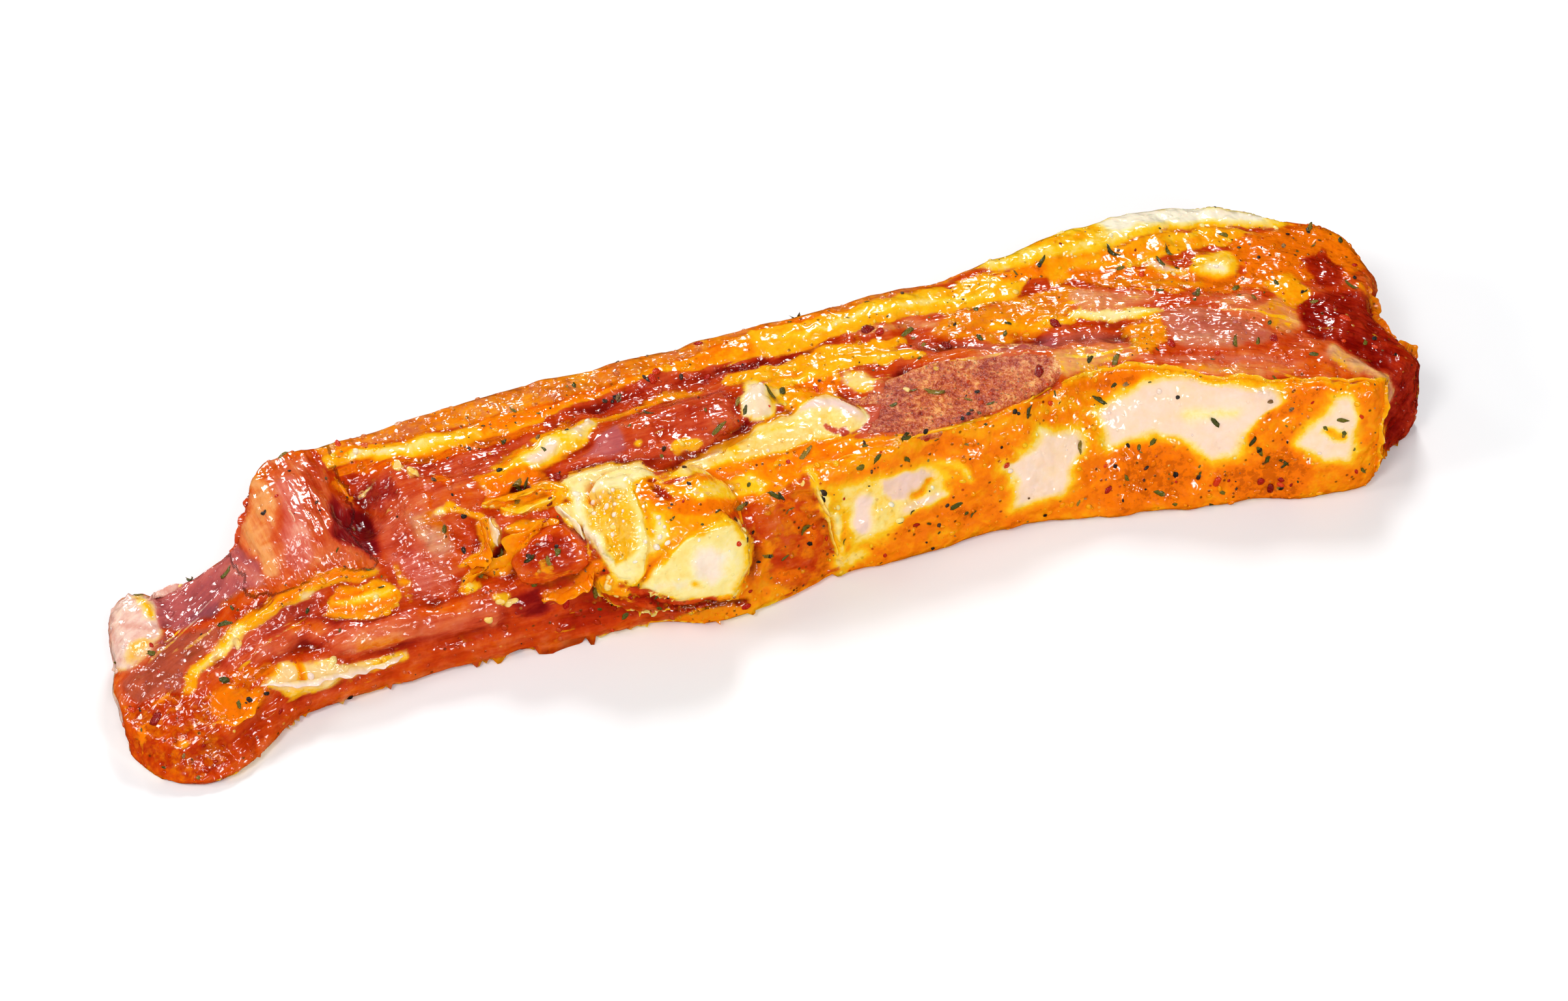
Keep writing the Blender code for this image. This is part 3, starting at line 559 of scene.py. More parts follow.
# the wide right end
area("38 62.4, 46 59.9, 58.8 59.6, 69.4 60.2, 80 59.9, 86 58.6, 92.5 56.5, 100 53, 106 55, 97 61.5, "
     "90 64, 80 68, 70 69, 60 68, 50 66", fat=1, pale=0.42, marinade=0.2, rind=0, rise=0.5)
stroke("68 64.6 1.8, 80 63.4 2.2, 88 61 1.6, 97 57 1.2", pale=0.5, marinade=0)
stroke("50 65 1, 60 64 1.2, 64 64.6 1", marinade=0.36)
area("50 60, 60 59.4, 75 59.4, 84 58.4, 92 55, 92 52.4, 75 53.4, 62 54, 50 53.4",
     fat=0.92, pale=0.1, marinade=0.34)
stroke("78 57.6 1.2, 84 57.4 1.2", marinade=0.22)
stroke("64 57.6 1.4, 72 56.4 1.4", fat=0.8, marinade=0.46)
stroke("56 54.4 0.9, 62 52.4 2.2, 68 50 3, 75 47 3.4, 82 44 3, 88 41.4 1.8",
       fat=0.55, dark=0.3, marinade=0.68)
stroke("60 52 0.8, 68 48.6 1.2, 78 44 1.4", dark=0.5, marinade=0.45)
# pale streak where glints show: a painted highlight on the fat
stroke("71.6 52.6 0.9, 74 50 1.2, 76 48.4 0.8", fat=0.6, pale=0.9, dark=0.1, marinade=0.04, rise=0.3)
area("51 48.6, 54 51, 60 49.5, 66 46.5, 70 43.5, 64 42.5, 58 43.5, 53 45.6",
     fat=0.3, pale=0.6, dark=0.2, marinade=0.16, rise=0.3)
area("77.6 49, 81 51.2, 86 51, 89 48, 86 44.8, 82 44.2, 79 46", fat=1, pale=0.15, marinade=0.2, rise=0.4)
stroke("81.6 47.4 0.8, 84.6 46.6 0.9", pale=0.75, marinade=0.02, soft=2)
area("88 53, 97 53, 104 52.4, 113 52.4, 113 44, 110.4 37, 104 36, 96 39.4, 88 42",
     fat=0.55, pale=0.1, dark=0.3, marinade=0.72)
stroke("108.6 48 1.6, 108 42 1.4", fat=1, marinade=0.66)
area("99 44, 105 45, 107 38, 103 34, 99 37", fat=0, dark=0.68, marinade=0.35, wet=1)
area("58 38.6, 61 39.8, 67 38.8, 66 33, 61 31, 58.5 33", fat=0.6, pale=0.2, marinade=0.42, rise=0.1, soft=3)
area("66 38.8, 72 39.4, 78 35.4, 85 29.4, 85 26, 76 27, 69 29.4, 66 33.6",
     fat=0.15, pale=0.9, dark=0.3, marinade=0.12, rise=0.3)
stroke("70 36 0.4, 78 31.6 0.4, 84 27.6 0.4", dark=0.45, rise=-0.5)
stroke("68 32.6 0.4, 76 29 0.4", fat=0.4, dark=0.2, rise=0.3)
stroke("60 30.4 0.9, 66 27.2 0.9, 74 24.6 1, 86 20 1", fat=0, pale=0.6, dark=0.25, marinade=0.08, rise=-0.4)
stroke("67 24.4 1, 74 21.8 1.6, 80 19.6 2, 88 16.8 2.2, 96 13 1.6",
       fat=0.3, pale=0.5, dark=0.2, marinade=0.25)
stroke("88 17.6 1.2, 95 14 1.2", fat=0, dark=0.25, marinade=0.4)
area("89 41, 95 41, 98 36, 95 31.4, 90 33", fat=0.9, pale=0.1, marinade=0.38)
area("77 40, 85 40, 88 34, 84 30, 79 33", fat=0.2, dark=0.22, marinade=0.18, rise=0.5, edge=2)
area("84 35, 90 36, 93 31, 92 27.4, 86 27.4", fat=0.35, dark=0.12, marinade=0.25, rise=0.4)
area("93 33, 100 33.6, 109 31, 113 20, 114 8, 108 0, 104 4, 100 9.6, 99 13, 95 22, 90.6 26.6",
     fat=0, dark=0.76, marinade=0.3, wet=1)
area("100.6 9.6, 110 6, 106 -6, 98 -12, 88.6 -14, 88.8 -9, 92.4 -4, 95.8 1",
     fat=0, dark=0.76, marinade=0.3, wet=1)
# pale pink rim: partly the pale lip of the membrane, partly a painted highlight band
stroke("94 19.6 1.4, 98 14.4 1.4, 100.4 9 1, 98 4 1", fat=0.5, pale=0.8, dark=0.2, marinade=0.14, rise=0.3)
stroke("107.6 33 0.9, 108 26 0.9, 107.6 20 0.9", fat=0.5, pale=0.1, dark=0.5, marinade=0.4, rise=0.3)
stroke("111 17.5 1.1, 112 12 1.1", fat=1, pale=0.1, marinade=0.5, rise=0.3)

# Front edge of the cut face, which the hidden underside's pattern stays behind
faceEdge = readPoints(
    "-142.5 25, -135 17, -113 24, -86 26, -36 23, -13 24.5, 15 27, 51 30.8, 61 26.7, 76 18.2, 99 9.3, "
    "116 20")


def ease(t):
    t = np.clip(t, 0, 1)
    return t * t * (3 - 2 * t)


def lumps(points, size, seed):
    # smooth unevenness from -1 to 1, with lumps about size across
    p = points / size + 0.37 * seed
    cell = np.floor(p).astype(np.int64)
    f = ease(p - cell)
    total = np.zeros(len(points))
    for corner in product((0, 1), repeat=3):
        c = cell + corner
        h = (c[:, 0] * 73856093) ^ (c[:, 1] * 19349663) ^ (c[:, 2] * 83492791) ^ (seed * 2654435)
        h = ((h ^ (h >> 13)) * 1274126177) & 0xFFFFFFFF
        value = ((h ^ (h >> 16)) & 0xFFFF) / 32767.5 - 1
        total += value * np.prod(np.where(corner, f, 1 - f), axis=1)
    return total


def gapTo(points, mark):
    # how far outside the mark each point is, in mm, negative inside
    nearest = np.full(len(points), np.inf)
    if "line" in mark:
        knots = np.array(mark["line"], float)
        starts, ends = (knots, knots) if len(knots) == 1 else (knots[:-1], knots[1:])
        for a, b in zip(starts, ends):
            run = b[:2] - a[:2]
            t = np.clip((points - a[:2]) @ run / max(run @ run, 1e-9), 0, 1)
            away = points - a[:2] - t[:, None] * run
            nearest = np.minimum(nearest, np.hypot(away[:, 0], away[:, 1]) - a[2] - t * (b[2] - a[2]))
        return nearest
    corners = np.array(mark["area"], float)
    inside = np.zeros(len(points), bool)
    for a, b in zip(corners, np.roll(corners, -1, 0)):
        run = b - a
        t = np.clip((points - a) @ run / (run @ run), 0, 1)
        away = points - a - t[:, None] * run
        nearest = np.minimum(nearest, np.hypot(away[:, 0], away[:, 1]))
        spans = (a[1] > points[:, 1]) != (b[1] > points[:, 1])
        crossing = a[0] + (points[:, 1] - a[1]) * run[0] / (run[1] if run[1] else 1e-9)
        inside ^= spans & (points[:, 0] < crossing)
    return np.where(inside, -nearest, nearest)


def facingEye(co, normals):
    # 1 where the surface faces the place the photo was taken from, below 0 where it is turned away
    toEye = np.array(view["eye"]) / mm - co
    return np.sum(normals * toEye, 1) / np.linalg.norm(toEye, axis=1)


def onLevel(co):
    # where each point shows on the level of the cut face, in plan mm
    eye = np.array(view["eye"]) / mm
    t = (plan["level"] - eye[2]) / (co[:, 2] - eye[2])
    return (eye + t[:, None] * (co - eye))[:, :2] - plan["origin"]


def planOf(co, normals):
    # the plan place of each point, which for what the photo doesn't show is straight above it
    through = co[:, :2] - plan["origin"]
    through[:, 0] = np.clip(through[:, 0], *plan["ends"])
    edge = np.interp(through[:, 0], *np.array(faceEdge).T)
    through[:, 1] = np.maximum(through[:, 1], edge + plan["hem"])
    share = ease(facingEye(co, normals) / plan["grazing"])[:, None]
    return onLevel(co) * share + through * (1 - share)


def readMarks(co, normals):
    # what the marks say at each point: the paint channels and the height
    at = planOf(co, normals)
    at = at + np.stack([sum(far * lumps(co, size, seed) for far, size, seed in way)
                        for way in plan["stray"]], 1)
    paint = {name: np.full(len(co), value) for name, value in bareFlesh.items()}
    height = np.zeros(len(co))
    for mark in marks:
        outline = np.array(mark.get("area") or mark["line"], float)[:, :2]
        near = np.all((at > outline.min(0) - plan["reach"]) & (at < outline.max(0) + plan["reach"]), 1)
        gap = gapTo(at[near], mark)
        share = ease(0.5 - gap / mark.get("soft", plan["soft"]))
        for name in paint:
            if name in mark:
                paint[name][near] += (mark[name] - paint[name][near]) * share
        if "rise" in mark:
            height[near] += mark["rise"] * ease(-gap / mark.get("edge", plan["edge"]))
    return at, paint, height


# mesh helpers

def readAll(items, what, wide=1, kind=float):
    # one property of all the points, edges, corners or faces, as an array
    values = np.zeros(len(items) * wide, kind)
    items.foreach_get(what, values)
    return values.reshape(-1, wide) if wide > 1 else values


def meshPoints(piece):
    return readAll(piece.data.vertices, "co", 3) / mm


def meshNormals(piece):
    return readAll(piece.data.vertices, "normal", 3)


def movePoints(piece, co):
    piece.data.vertices.foreach_set("co", (co * mm).ravel())
    piece.data.update()


def storePaint(piece, name, values):
    kind = "FLOAT" if values.ndim == 1 else "FLOAT_VECTOR"
    attribute = piece.data.attributes.new(name, kind, "POINT")
    attribute.data.foreach_set("value" if values.ndim == 1 else "vector",
                               values.astype(np.float32).ravel())


def activate(*pieces):
    if bpy.context.object and bpy.context.object.mode != "OBJECT":
        bpy.ops.object.mode_set(mode="OBJECT")
    bpy.ops.object.select_all(action="DESELECT")
    for piece in pieces:
        piece.select_set(True)
    bpy.context.view_layer.objects.active = pieces[0]


def newPiece(name, mesh):
    piece = bpy.data.objects.new(name, mesh)
    piece.data.name = name
    bpy.context.scene.collection.objects.link(piece)
    return piece


def editAll(piece, operator, **options):
    # one edit mode operator on the whole piece
    activate(piece)
    bpy.ops.object.mode_set(mode="EDIT")
    bpy.ops.mesh.select_all(action="SELECT")
    operator(**options)
    bpy.ops.object.mode_set(mode="OBJECT")


def copyOf(node, name):
    # a merged copy of a CAD node's mesh, as a new piece
    piece = newPiece(name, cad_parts[node].data.copy())
    piece.data.materials.clear()
    editAll(piece, bpy.ops.mesh.remove_doubles, threshold=0.00001)
    return piece


def swell(piece, by):
    # moves every point outwards by so many mm
    movePoints(piece, meshPoints(piece) + by * meshNormals(piece))


def refine(piece, voxel, smoothing):
    # an even dense mesh of the same form
    activate(piece)
    remesh = piece.modifiers.new("remesh", "REMESH")
    remesh.mode = "VOXEL"
    remesh.voxel_size = voxel
    bpy.ops.object.modifier_apply(modifier="remesh")
    smooth = piece.modifiers.new("smooth", "SMOOTH")
    smooth.factor = 0.5
    smooth.iterations = smoothing
    bpy.ops.object.modifier_apply(modifier="smooth")
    bpy.ops.object.shade_smooth()


def finishPiece(piece, material, slot=None, *nodes):
    piece.data.materials.clear()
    piece.data.materials.append(material)
    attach(piece, "root")
    if nodes:
        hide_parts(*nodes)


# flesh

flesh = {
    "voxel": 0.00066,
    "smoothing": 9,
    "unevenness": [(9.0, 0.55, 11), (4.4, 0.40, 12), (2.1, 0.17, 13)],   # size, height in mm, seed
    "fibreRise": 0.2,
    "spread": 9,             # how far around a crease is looked for, in steps
    "crease": 0.30,          # depth in mm that counts as a full crease
    "grow": 1.0,             # share of the marks' height that the piece takes
    "underBone": 0.5,        # how far the bone and the cartilage are swollen where they fill their beds
    "underBlock": 0.1,
    "floorFade": (1.2, 1.0),     # the flat underside is kept below the first, fading over the second
}

# The rear side is rind: where it is, its film of marinade, and its wrinkles
rindSide = {
    "leftEnd": -101,                       # plan mm
    "below": 1.5,                          # mm under the cut face
    "facing": 0.35,                        # how far a point must face the rear
    "film": 0.24,
    "patches": [(0.26, 15, 33), (0.16, 5, 34)],                 # share, size, seed
    "wrinkles": [(0.5, 0.6, 7.5, 35), (0.22, 0.35, 2.2, 36)],   # height, stretch, size, seed
    "wet": 0.9,
    "even": 0.6,                           # how much of the unevenness it loses
}

# How the layers bend along the slice, which the fibres follow: x y in plan mm
layerBend = readPoints(
    "-150 -18, -130 -9, -115 -2, -95 1, -60 0, 0 0, 40 -3, 60 -7, 80 -15, 100 -26, 120 -38")
lobeFibres = {"x": (-116, -93), "y": (31, 66)}      # here the fibres run towards the rind


def grainOf(co, at):
    # along, across and up, in mm, following the fibres
    bend = np.interp(at[:, 0], *np.array(layerBend).T)
    grain = np.stack([co[:, 0], co[:, 1] - bend, co[:, 2]], 1)
    inLobe = ((at[:, 0] > lobeFibres["x"][0]) & (at[:, 0] < lobeFibres["x"][1])
              & (at[:, 1] > lobeFibres["y"][0]) & (at[:, 1] < lobeFibres["y"][1]))
    grain[inLobe] = np.stack([co[:, 1], co[:, 0] + 0.1 * co[:, 1], co[:, 2]], 1)[inLobe]
    return grain


def hollowness(piece, spread):
    # how deep each point lies, in mm: above 0 in creases, below 0 on ridges
    co, normals = meshPoints(piece), meshNormals(piece)
    pairs = readAll(piece.data.edges, "vertices", 2, int)
    ends = np.concatenate([pairs, pairs[:, ::-1]])
    count = np.bincount(ends[:, 0], minlength=len(co)).clip(1)

    def around(values):
        return np.bincount(ends[:, 0], weights=values[ends[:, 1]], minlength=len(co)) / count

    far = co.T
    for _ in range(spread):
        far = np.stack([around(axis) for axis in far])
    depth = np.sum((far.T - co) * normals, 1)
    for _ in range(2):
        depth = around(depth)
    return depth


def rindShare(co, normals, at):
    # 1 on the rind along the rear, 0 elsewhere
    share = ease((normals[:, 1] - rindSide["facing"]) / 0.3) * ease((at[:, 0] - rindSide["leftEnd"]) / 4)
    return share * ease((plan["level"] - rindSide["below"] - co[:, 2]) / 2)


def sculpt(piece, settings):
    # moves the points by what the marks and the unevenness say, and stores the paint
    co, normals = meshPoints(piece), meshNormals(piece)
    at, paint, height = readMarks(co, normals)
    grain = grainOf(co, at)
    rear = rindShare(co, normals, at)
    patches = rindSide["film"]
    for share, size, seed in rindSide["patches"]:
        patches = patches + share * lumps(co, size, seed)
    paint["rind"] = np.maximum(paint["rind"], rear)
    paint["marinade"] += rear * (patches.clip(0.02, 0.8) - paint["marinade"])
    paint["wet"] += rear * (rindSide["wet"] - paint["wet"])
    height += rear * sum(rise * lumps(co * (stretch, 1, 1), size, seed)
                         for rise, stretch, size, seed in rindSide["wrinkles"])
    for size, rise, seed in settings["unevenness"]:
        height += rise * lumps(co, size, seed) * (1 - rindSide["even"] * rear)
    muscle = (1 - paint["fat"]) * (1 - paint["rind"])
    fibres = lumps(grain * (0.12, 1.0, 0.6), 0.95, 21) + 0.6 * lumps(grain * (0.1, 1.0, 0.6), 2.1, 22)
    height += settings["fibreRise"] * (0.25 + 0.75 * muscle) * fibres
    underneath = ease((flesh["floorFade"][0] - co[:, 2]) / flesh["floorFade"][1]) * ease(-normals[:, 2])
    co = co + normals * (height * settings["grow"] * (1 - underneath))[:, None]
    co[:, 2] = np.maximum(co[:, 2], 0.0)
    movePoints(piece, co)
    paint["hollow"] = np.clip(hollowness(piece, settings["spread"]) / settings["crease"], -1, 1.4)
    for name, values in paint.items():
        storePaint(piece, name, values)
    storePaint(piece, "grain", grain)


cutFaces = [      # the flat cuts on the cartilage: outline, how flat
    (readPoints("-49.8 10.1, -46.6 12.6, -42.1 15.6, -38.4 18, -34.8 18.9, -30.3 19.1, -26.6 18.1, "
                "-27 14, -29 7.8, -33.1 2.5, -34.3 1.5, -40.8 4, -45.7 5.4"),
     0.85),
    (readPoints("-53.7 38.9, -48.5 39.6, -44 38.4, -43.2 34, -43.8 30.8, -44.5 25.9, -44.9 21.8, "
                "-46.3 17.3, -49.5 12.4, -52.8 14, -53.7 22.9, -53.9 28, -53.9 33.8"),
     0.6),
]


def pressFlat(piece, corners, share):
    # pulls the part that shows within an area onto one plane, which makes its border crisp
    co, normals = meshPoints(piece), meshNormals(piece)
    gap = gapTo(planOf(co, normals), {"area": corners})
    facing = facingEye(co, normals) > 0
    core = co[facing & (gap < -1.0)]
    middle = core.mean(0)
    tilt = np.linalg.svd(core - middle, full_matrices=False)[2][2]
    off = (co - middle) @ tilt
    pull = share * ease((0.5 - gap) / 1.0) * facing * ease((3.2 - np.abs(off)) / 1.6)
    movePoints(piece, co - (pull * off)[:, None] * tilt)


bedAreas = [      # where the bone and the cartilage lie: outline, depth in mm, least slope
    (readPoints("10 42, 15 44.2, 22.5 42.8, 27.5 41.6, 35 40, 40 38.8, 43.4 36, 43.4 33, 41.6 29.2, "
                "36 27.6, 30 27.2, 20 27.6, 11 27.4, 1.6 30, 5 33, 8.4 37"),
     1.6, 0.5),
    (readPoints("-52.2 35, -50 36.6, -43 36, -39 33, -33 28, -30 20, -29.6 8, -34 3, -43 5, -48 9, "
                "-51.4 15, -52.2 22"),
     0.9, -0.4),
]


def sinkUnder(piece):
    # lowers the flesh where the bone and the cartilage lie, so that they show
    co, normals = meshPoints(piece), meshNormals(piece)
    at = planOf(co, normals)
    for corners, depth, top in bedAreas:
        drop = depth * ease(-gapTo(at, {"area": corners}) / plan["edge"]) * (normals[:, 2] > top)
        co -= normals * drop[:, None]
    movePoints(piece, co)


def makeFlesh():
    piece = copyOf("meat_slice", "flesh")
    boneFill = copyOf("rib_bone", "boneFill")
    blockFill = copyOf("rib_cartilage", "blockFill")
    swell(boneFill, flesh["underBone"])
    swell(blockFill, flesh["underBlock"])
    activate(piece, boneFill, blockFill)
    bpy.ops.object.join()
    refine(piece, flesh["voxel"], flesh["smoothing"])
    for corners, share in cutFaces:
        pressFlat(piece, corners, share)
    sinkUnder(piece)
    sculpt(piece, flesh)
    print("flesh:", len(piece.data.polygons), "faces")
    return piece


fleshColours = {
    "muscle": [(0.0, 0.94, 0.66, 0.55), (0.22, 0.87, 0.44, 0.35), (0.42, 0.80, 0.30, 0.22),
               (0.62, 0.68, 0.17, 0.13), (0.82, 0.53, 0.06, 0.07), (1.0, 0.42, 0.01, 0.05)],
    "lilac": tint(0.66, 0.50, 0.56),
    "fat": [(0.0, 1.0, 0.87, 0.60), (0.3, 1.0, 0.92, 0.73), (0.52, 1.0, 0.95, 0.84),
            (0.8, 1.0, 0.87, 0.79), (1.0, 0.95, 0.81, 0.77)],
    "rind": [(0.25, 0.80, 0.42, 0.32), (0.5, 0.90, 0.58, 0.45), (0.75, 0.97, 0.74, 0.62)],
    "marinade": [(0.0, 1.0, 1.0, 1.0), (0.08, 1.0, 0.965, 0.72), (0.22, 1.0, 0.83, 0.13),
                 (0.38, 1.0, 0.69, 0.01), (0.54, 1.0, 0.59, 0.0), (0.72, 0.97, 0.49, 0.0),
                 (0.88, 0.91, 0.38, 0.0), (1.0, 0.80, 0.29, 0.0)],
    "thickMarinade": tint(0.96, 0.47, 0.01),
    "paste": tint(0.70, 0.27, 0.01),
    "specks": [(0.0, 0.20, 0.17, 0.03), (0.3, 0.34, 0.24, 0.04), (0.45, 0.30, 0.08, 0.02),
               (0.7, 0.74, 0.13, 0.02), (0.85, 0.80, 0.40, 0.05), (1.0, 1.0, 0.84, 0.36)],
    # painted shade in creases: dark red on meat; on fat a deep orange that is partly pooled marinade and
    # partly painted shade
    "meatCreaseShade": tint(0.38, 0.02, 0.03),
    "fatCreaseShadeAndMarinade": tint(0.84, 0.38, 0.02),
}


def fleshFinish():
    f = Finish("marinatedFlesh", {
        "Roughness": 0.2, "Subsurface Weight": 0.14, "Subsurface Scale": 0.003,
        "Subsurface Radius": (1.0, 0.4, 0.2), "Specular IOR Level": 0.75,
    })
    grain = f.painted("grain", "Vector")
    cloud = f.noise(f.place, 120, 3.0, 0.55)            # patches of about 8 mm
    blot = f.noise(f.place, 340, 5.0, 0.62, 0.5)        # 3 mm
    mottle = f.noise(f.place, 850, 4.0, 0.6, 0.3)       # 1 mm
    fine = f.noise(f.place, 2300, 3.0, 0.6)             # under half a mm
    fibre = f.noise(f.stretched(grain, (0.10, 0.85, 0.5)), 1.0, 5.0, 0.62, 0.3)
    strand = f.noise(f.stretched(grain, (0.20, 3.0, 1.4)), 1.0, 3.0, 0.6, 0.3)
    vein = f.noise(f.stretched(grain, (0.045, 0.32, 0.25)), 1.0, 4.0, 0.55, 0.6)
    hollow = f.painted("hollow")

    marbling = f.step(vein + fibre * 0.25, 0.10, 0.20) * 0.45
    fat = f.painted("fat")
    fat = fat + marbling * (1 - fat) + blot * 0.9 + mottle * 0.4 + fibre * 0.8
    fat = f.step(fat, 0.24, 0.80)
    rind = f.step(f.painted("rind") + blot * 0.8 + mottle * 0.5, 0.3, 0.7)

    meatTone = f.painted("dark") + fibre * 0.5 + strand * 0.25 + blot * 0.4 + cloud * 0.3
    # meat goes darker in creases: painted shade
    meatTone = meatTone + hollow * 0.18
    meat = f.ramp(meatTone, fleshColours["muscle"])
    pale = f.painted("pale")
    # fat goes darker and yellower in creases: painted shade
    fatTone = pale + (mottle * 0.5 + blot * 0.6 + cloud * 0.4) * (1.0 - pale) - hollow * 0.1
    fatColour = f.ramp(fatTone, fleshColours["fat"])
    cool = f.step(pale, 0.45, 0.95, 0.0, 0.55)
    coolMeat = f.mix(0.5, meat, fleshColours["lilac"])
    tissue = f.mix(fat, f.mix(cool, meat, coolMeat), fatColour)
    skinTone = f.ramp(cloud + mottle * 0.8 + strand * 0.3 + 0.5, fleshColours["rind"])
    tissue = f.mix(rind, tissue, skinTone)

    paint = f.painted("marinade")
    film = paint + cloud * 0.75 * (paint + 0.05) + blot * 1.35 * (paint + 0.04)
    film = film + mottle * 0.9 * (paint + 0.02) + f.step(hollow, 0.1, 1.2, 0.0, 0.5) * (paint + 0.1)
    soaked = film * (0.58 + 0.42 * fat)
    stained = f.mix(1.0, tissue, f.ramp(soaked, fleshColours["marinade"]), "MULTIPLY")
    body = f.mix(f.step(film, 0.42, 0.86, 0.0, 0.8), stained, fleshColours["thickMarinade"])
    paste = f.step(film + mottle * 0.7 + fine * 0.5, 0.80, 1.0)
    body = f.mix(paste * 0.5, body, fleshColours["paste"])

    where = {"Vector": f.place, "Scale": 640.0, "Randomness": 1.0}
    specks = f.node("ShaderNodeTexVoronoi", {}, where)
    kinds = f.node("ShaderNodeTexVoronoi", {}, where, "Color")
    kind = f.node("ShaderNodeSeparateColor", {}, {"Color": kinds})
    chance = f.node("ShaderNodeSeparateColor", {}, {"Color": kinds}, 1)
    speck = f.step(specks + fine * 0.2, 0.10, 0.26, 1.0, 0.0) * f.step(chance, 0.42, 0.7)
    speckShare = speck * f.step(film + cloud * 0.6, 0.08, 0.5)
    body = f.mix(speckShare * 0.85, body, f.ramp(kind, fleshColours["specks"]))
    # painted shade laid into the creases, over the tissue and marinade colour
    creaseShade = f.mix(fat, fleshColours["meatCreaseShade"], fleshColours["fatCreaseShadeAndMarinade"])
    f.feed("Base Color", f.mix(f.step(hollow, 0.3, 1.2, 0.0, 0.6), body, creaseShade))

    f.feed("Roughness", 0.17 - 0.06 * film + fine * 0.12)
    swelling = f.noise(f.place, 300, 0.5, 0.5, 0.4)
    ripple = f.noise(f.place, 700, 0.5, 0.5, 0.4)
    strands = f.noise(f.stretched(grain, (0.16, 0.8, 0.6)), 1.0, 1.0, 0.5, 0.3)
    wet = f.painted("wet")
    relief = swelling * (0.0005 + 0.0009 * wet) + ripple * (0.00010 + 0.00030 * wet) + speck * 0.00007
    relief = relief + strands * (1 - fat) * 0.00035
    f.feed("Normal", f.bump(relief, 1.0))
    return f.material


# sawn rib and cartilage, each in its bed in the flesh

bone = {
    "swelling": 0.25,
    "voxel": 0.00036,
    "smoothing": 3,
    "unevenness": [(2.2, 0.16, 31), (0.9, 0.10, 32)],
    "fibreRise": 0.0,
    "spread": 6,
    "crease": 0.2,
    "grow": 0.8,
    "colours": [(0.15, 0.42, 0.08, 0.07), (0.35, 0.64, 0.23, 0.17), (0.52, 0.77, 0.38, 0.25),
                (0.68, 0.87, 0.55, 0.37), (0.9, 0.98, 0.82, 0.62)],
    "marinade": [(0.0, 1.0, 0.97, 0.95), (0.4, 1.0, 0.88, 0.68), (0.8, 0.98, 0.66, 0.28)],
    "pores": tint(0.30, 0.06, 0.04),
}

cartilage = {
    "swelling": 0.5,
    "voxel": 0.00045,
    "smoothing": 6,
    "unevenness": [(6.0, 0.35, 41), (2.4, 0.16, 42)],
    "fibreRise": 0.0,
    "spread": 10,
    "crease": 0.30,
    "grow": 1.0,
}


def makeInsert(node, name, settings, faces=()):
    piece = copyOf(node, name)
    swell(piece, settings["swelling"])
    refine(piece, settings["voxel"], settings["smoothing"])
    for corners, share in faces:
        pressFlat(piece, corners, share)
    sculpt(piece, settings)
    print(name + ":", len(piece.data.polygons), "faces")
    return piece


def boneFinish():
    f = Finish("sawnBone", {
        "Roughness": 0.3, "Subsurface Weight": 0.08, "Subsurface Scale": 0.002,
        "Subsurface Radius": (1.0, 0.4, 0.2), "Specular IOR Level": 0.6,
    })
    cells = f.node("ShaderNodeTexVoronoi", {}, {"Vector": f.place, "Scale": 1150.0})
    grit = f.noise(f.place, 1300, 2.0, 0.6)
    mottle = f.noise(f.place, 420, 3.0, 0.6)
    cloud = f.noise(f.place, 120, 2.0, 0.5)
    tone = 0.55 + mottle * 0.85 + cloud * 0.7 + grit * 0.95 + (0.45 - f.painted("dark")) * 0.8
    film = f.painted("marinade") + cloud * 0.5 + mottle * 0.6
    body = f.mix(1.0, f.ramp(tone, bone["colours"]), f.ramp(film, bone["marinade"]), "MULTIPLY")
    pores = f.step(cells, 0.15, 0.4, 1.0, 0.0) * f.step(grit, -0.05, 0.08)
    f.feed("Base Color", f.mix(pores * 0.7, body, bone["pores"]))
    f.feed("Roughness", 0.26 + 0.3 * grit)
    f.feed("Normal", f.bump(grit * 0.0006 + cells * 0.00016, 1.0))
    return f.material


# drops and scattered spice

paintNames = ("fat", "pale", "dark", "marinade", "rind", "wet", "hollow")


def skinOf(*pieces):
    # where scattered things can lie: face centres, normals, areas and the paint there
    parts = []
    for piece in pieces:
        mesh = piece.data
        corners = readAll(mesh.loops, "vertex_index", 1, int)
        first = corners[readAll(mesh.polygons, "loop_start", 1, int)]
        part = {
            "co": readAll(mesh.polygons, "center", 3) / mm,
            "normals": readAll(mesh.polygons, "normal", 3),
            "area": readAll(mesh.polygons, "area") / mm ** 2,
            "grain": readAll(mesh.attributes["grain"].data, "vector", 3)[first],
        }
        for name in paintNames:
            part[name] = readAll(mesh.attributes[name].data, "value")[first]
        parts.append(part)
    skin = {name: np.concatenate([part[name] for part in parts]) for name in parts[0]}
    skin["facing"] = facingEye(skin["co"], skin["normals"])
    skin["at"] = onLevel(skin["co"])
    return skin


# A face has to be turned to the eye by so much or be so many mm nearer, and height counts a little
finding = {"facing": 0.1, "otherwise": 50, "perHeight": 0.02}


def spotsAt(skin, places):
    # the face that shows at each plan place
    turnedAway = np.where(skin["facing"] > finding["facing"], 0, finding["otherwise"])
    spots = []
    for x, y in places:
        away = np.hypot(skin["at"][:, 0] - x, skin["at"][:, 1] - y)
        away = away + turnedAway - finding["perHeight"] * skin["co"][:, 2]
        spots.append(int(np.argmin(away)))
    return np.array(spots, int)


def spotsAnywhere(skin, amount, weights, seed):
    # random faces, but none along the underside
    chance = skin["area"] * weights * (skin["co"][:, 2] > 1.0)
    rng = np.random.default_rng(seed)
    return rng.choice(len(chance), amount, p=chance / chance.sum())


